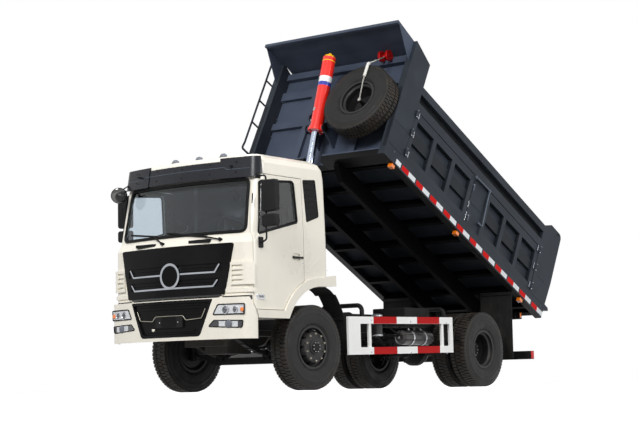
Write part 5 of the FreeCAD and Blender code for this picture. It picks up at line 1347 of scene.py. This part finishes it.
def add_fuel_tank_straps():
    # Straps with raised edges round the fuel tank, and its filler cap
    parts = []
    inner_y = -430.3
    run = [(inner_y - 20, 1003), (inner_y - 562, 1003), (inner_y - 563, 557), (inner_y - 60, 557)]
    for x in (-1950, -1300):
        for edge in (4, 46):
            loop = rounded_run([at(x + edge, y, z) for y, z in run], 0.07)
            parts.append(rod("zinc", loop, 0.005))
        parts += [slab("zinc", at(x + 25, inner_y - 310, 1002), (0.046, 0.42, 0.006), 0.002),
                  slab("zinc", at(x + 25, inner_y - 562, 780), (0.046, 0.006, 0.30), 0.002)]
    cap = [(0.058, 0), (0.058, 0.020), (0.050, 0.026), (0.020, 0.028)]
    parts.append(turned_form("trim_black", cap, at(-1250, inner_y - 300, 1036), upwards, 32))
    settle(parts, "fuel_tank_straps", "chassis")


def add_rear_fittings():
    # Red bar ends, the tail lamps' fields and a blank plate
    back = (-1, 0, 0)
    parts = []
    for side, name in sides:
        parts.append(slab("tape_red", at(-5255, side * 1149, 452), (0.080, 0.008, 0.112), 0.003))
        parts += [slab(finish, at(-5131, side * y, 1037), (0.012, width, 0.084), 0.005, back, 0.008, -0.003)
                  for finish, width, y in (("lamp_red", 0.13, 984), ("lamp_amber", 0.10, 860),
                                           ("lamp_clear", 0.08, 760))]
        parts.append(slab("lamp_amber", at(-5098, side * 1061, 1040), (0.040, 0.006, 0.070), 0.003))
        parts += [bolt("zinc", at(-5301, side * y, 452), back, 0.010, 0.008) for y in (250, 560, 870)]
    parts.append(slab("trim_black", at(-5302, 0, 452), (0.006, 0.440, 0.100), 0.002, back, 0.008, 0.001))
    settle(parts, "rear_lamp_fittings", "chassis")


def add_axle_fittings():
    # U-bolts with their nuts, and the brake chambers
    parts = []
    for x, y, reach, top, low in ((0, 392.5, 62, 560, 405), (-wheel_base, 492, 95, 690, 420)):
        for side, name in sides:
            inner, outer = side * (y - 46), side * (y + 46)
            for u in (x - reach, x + reach):
                run = points_at((u, inner, low), (u, inner, top), (u, outer, top), (u, outer, low))
                parts.append(rod("frame_black", rounded_run(run, 0.03), 0.009))
                parts += [bolt("frame_black", at(u, leg, low + 6), (0, 0, -1), 0.016, 0.016)
                          for leg in (inner, outer)]
    form = [(0.030, 0), (0.080, 0.010), (0.086, 0.045), (0.094, 0.050), (0.094, 0.062), (0.084, 0.068),
            (0.070, 0.110), (0.030, 0.118)]
    for x, y, z in ((150, 640, 560), (-3620, 420, 600)):
        parts += both_sides([turned_form("frame_black", form, at(x, y, z), (0, -1, 0), 32),
                             rod("frame_black", points_at((x, y, z), (x, y + 60, z)), 0.012)])
    settle(parts, "axle_fittings", "chassis")


def add_guard_bolts():
    # Bolts that hold the side guards on their stays
    parts = [bolt("zinc", at(x, side * 1167, z), (0, side, 0), 0.011, 0.008)
             for side, name in sides for x in (-1135, -2035, -2905) for z in (880, 470)]
    settle(parts, "guard_bolts", "chassis")


def add_flap_fittings():
    # Clamping strips and bolts at the top of the rear flaps
    parts = []
    for side, name in sides:
        parts.append(slab("frame_black", at(-4674, side * 890, 1350), (0.010, 0.50, 0.040), 0.003))
        parts += [bolt("zinc", at(-4680, side * (890 + dy), 1350), (-1, 0, 0), 0.009, 0.007)
                  for dy in (-200, -70, 70, 200)]
    settle(parts, "flap_fittings", "flaps")


add_tyres()
add_wheel_details()
add_seals()
add_quarter_slats()
add_corner_panels()
add_arch_guards()
add_door_fittings()
add_bumper_details()
add_lamp_fittings()
add_visor_details()
add_roof_domes()
add_mirror_glasses()
add_seats()
add_bed_details()
add_front_wall_fittings()
add_ram_details()
add_tank_fittings()
add_fuel_tank_straps()
add_rear_fittings()
add_axle_fittings()
add_guard_bolts()
add_flap_fittings()


# Stage, lights and camera

camera_azimuth = math.radians(37.4977)
camera_pitch = math.radians(6.1475)
camera_roll = math.radians(-1.0959)
camera_distance = 21.1264
camera_height = 0.0374
focal_pixels = 1615.01
image_width = 639.0
sensor_width = 36.0
floor_glow = 0.62


def add_camera():
    # At floor level, ahead and to the left of the truck
    data = bpy.data.cameras.new("camera")
    camera = bpy.data.objects.new("camera", data)
    bpy.context.scene.collection.objects.link(camera)
    level = Vector((-math.cos(camera_azimuth), -math.sin(camera_azimuth), 0))
    forward = level * math.cos(camera_pitch) + Vector((0, 0, math.sin(camera_pitch)))
    right = forward.cross(Vector((0, 0, 1))).normalized()
    up = right.cross(forward)
    across = right * math.cos(camera_roll) + up * math.sin(camera_roll)
    top = up * math.cos(camera_roll) - right * math.sin(camera_roll)
    matrix = Matrix((across, top, -forward)).transposed().to_4x4()
    matrix.translation = Vector((centre_x - 0.9602, 0.5, camera_height)) - level * camera_distance
    camera.matrix_world = matrix
    data.lens = focal_pixels * sensor_width / image_width
    data.sensor_width = sensor_width
    data.clip_end = 300.0
    bpy.context.scene.camera = camera


def add_light(name, place, target, size, power):
    data = bpy.data.lights.new(name, "AREA")
    data.shape = "DISK"
    data.size = size
    data.energy = power
    light = bpy.data.objects.new(name, data)
    bpy.context.scene.collection.objects.link(light)
    light.location = place
    light.rotation_euler = (Vector(target) - Vector(place)).to_track_quat("-Z", "Y").to_euler()


def light_path(tree, *kinds):
    # One on rays of these kinds, nought on the rest
    node = tree.nodes.new("ShaderNodeLightPath")
    seen = Value(tree, node.outputs[kinds[0]])
    for kind in kinds[1:]:
        seen = seen | Value(tree, node.outputs[kind])
    return seen


def add_floor():
    # Pale floor that shows the shadow and throws little light back
    bpy.ops.mesh.primitive_plane_add(size=1, location=(0, 0, 0))
    floor = bpy.context.active_object
    floor.name = "floor"
    floor.data.transform(Matrix.Diagonal((160, 160, 1, 1)))
    finish = Finish("pale_floor")
    seen = light_path(finish.tree, "Is Camera Ray", "Is Glossy Ray")
    patches = noise(finish.tree, own_place(finish.tree), 0.4)
    shade = finish.mix(patches, (0.17, 0.17, 0.17, 1), (0.21, 0.21, 0.21, 1))
    finish.feed({"Base Color": finish.mix(seen, shade, (floor_glow, floor_glow, floor_glow, 1)),
                 "Roughness": 0.85, "Specular IOR Level": 0.1, "Emission Color": (1, 1, 1, 1),
                 "Emission Strength": seen * floor_glow})
    floor.data.materials.append(finishes["pale_floor"])


def add_sky():
    # White where it is seen, and soft light that grows from the horizon up
    world = bpy.data.worlds.new("studio")
    bpy.context.scene.world = world
    world.use_nodes = True
    tree = world.node_tree
    surface = tree.nodes["Background"]
    seen = light_path(tree, "Is Camera Ray", "Is Glossy Ray", "Is Transmission Ray")
    rise = axes_of(tree, shader(tree, "TexCoord", output="Generated"))[2]
    glow = shader(tree, "MapRange", {0: rise, 1: -0.05, 2: 0.9, 3: 0.14, 4: 0.85})
    surface.inputs["Color"].default_value = (1, 1, 1, 1)
    plug(tree, surface.inputs["Strength"], shader(tree, "MapRange", {0: seen, 3: glow, 4: 1.0}))


add_camera()
add_floor()
add_sky()
add_light("key", (centre_x + 13, 3.5, 11), (centre_x - 1, 0, 1.8), 6.0, 2050)
add_light("side_fill", (centre_x - 3, 16, 7), (centre_x - 2, 0, 1.8), 8.0, 1250)
add_light("back_fill", (centre_x - 16, -9, 9), (centre_x - 2, 0, 1.8), 8.0, 800)

bpy.context.scene.view_settings.view_transform = "Standard"
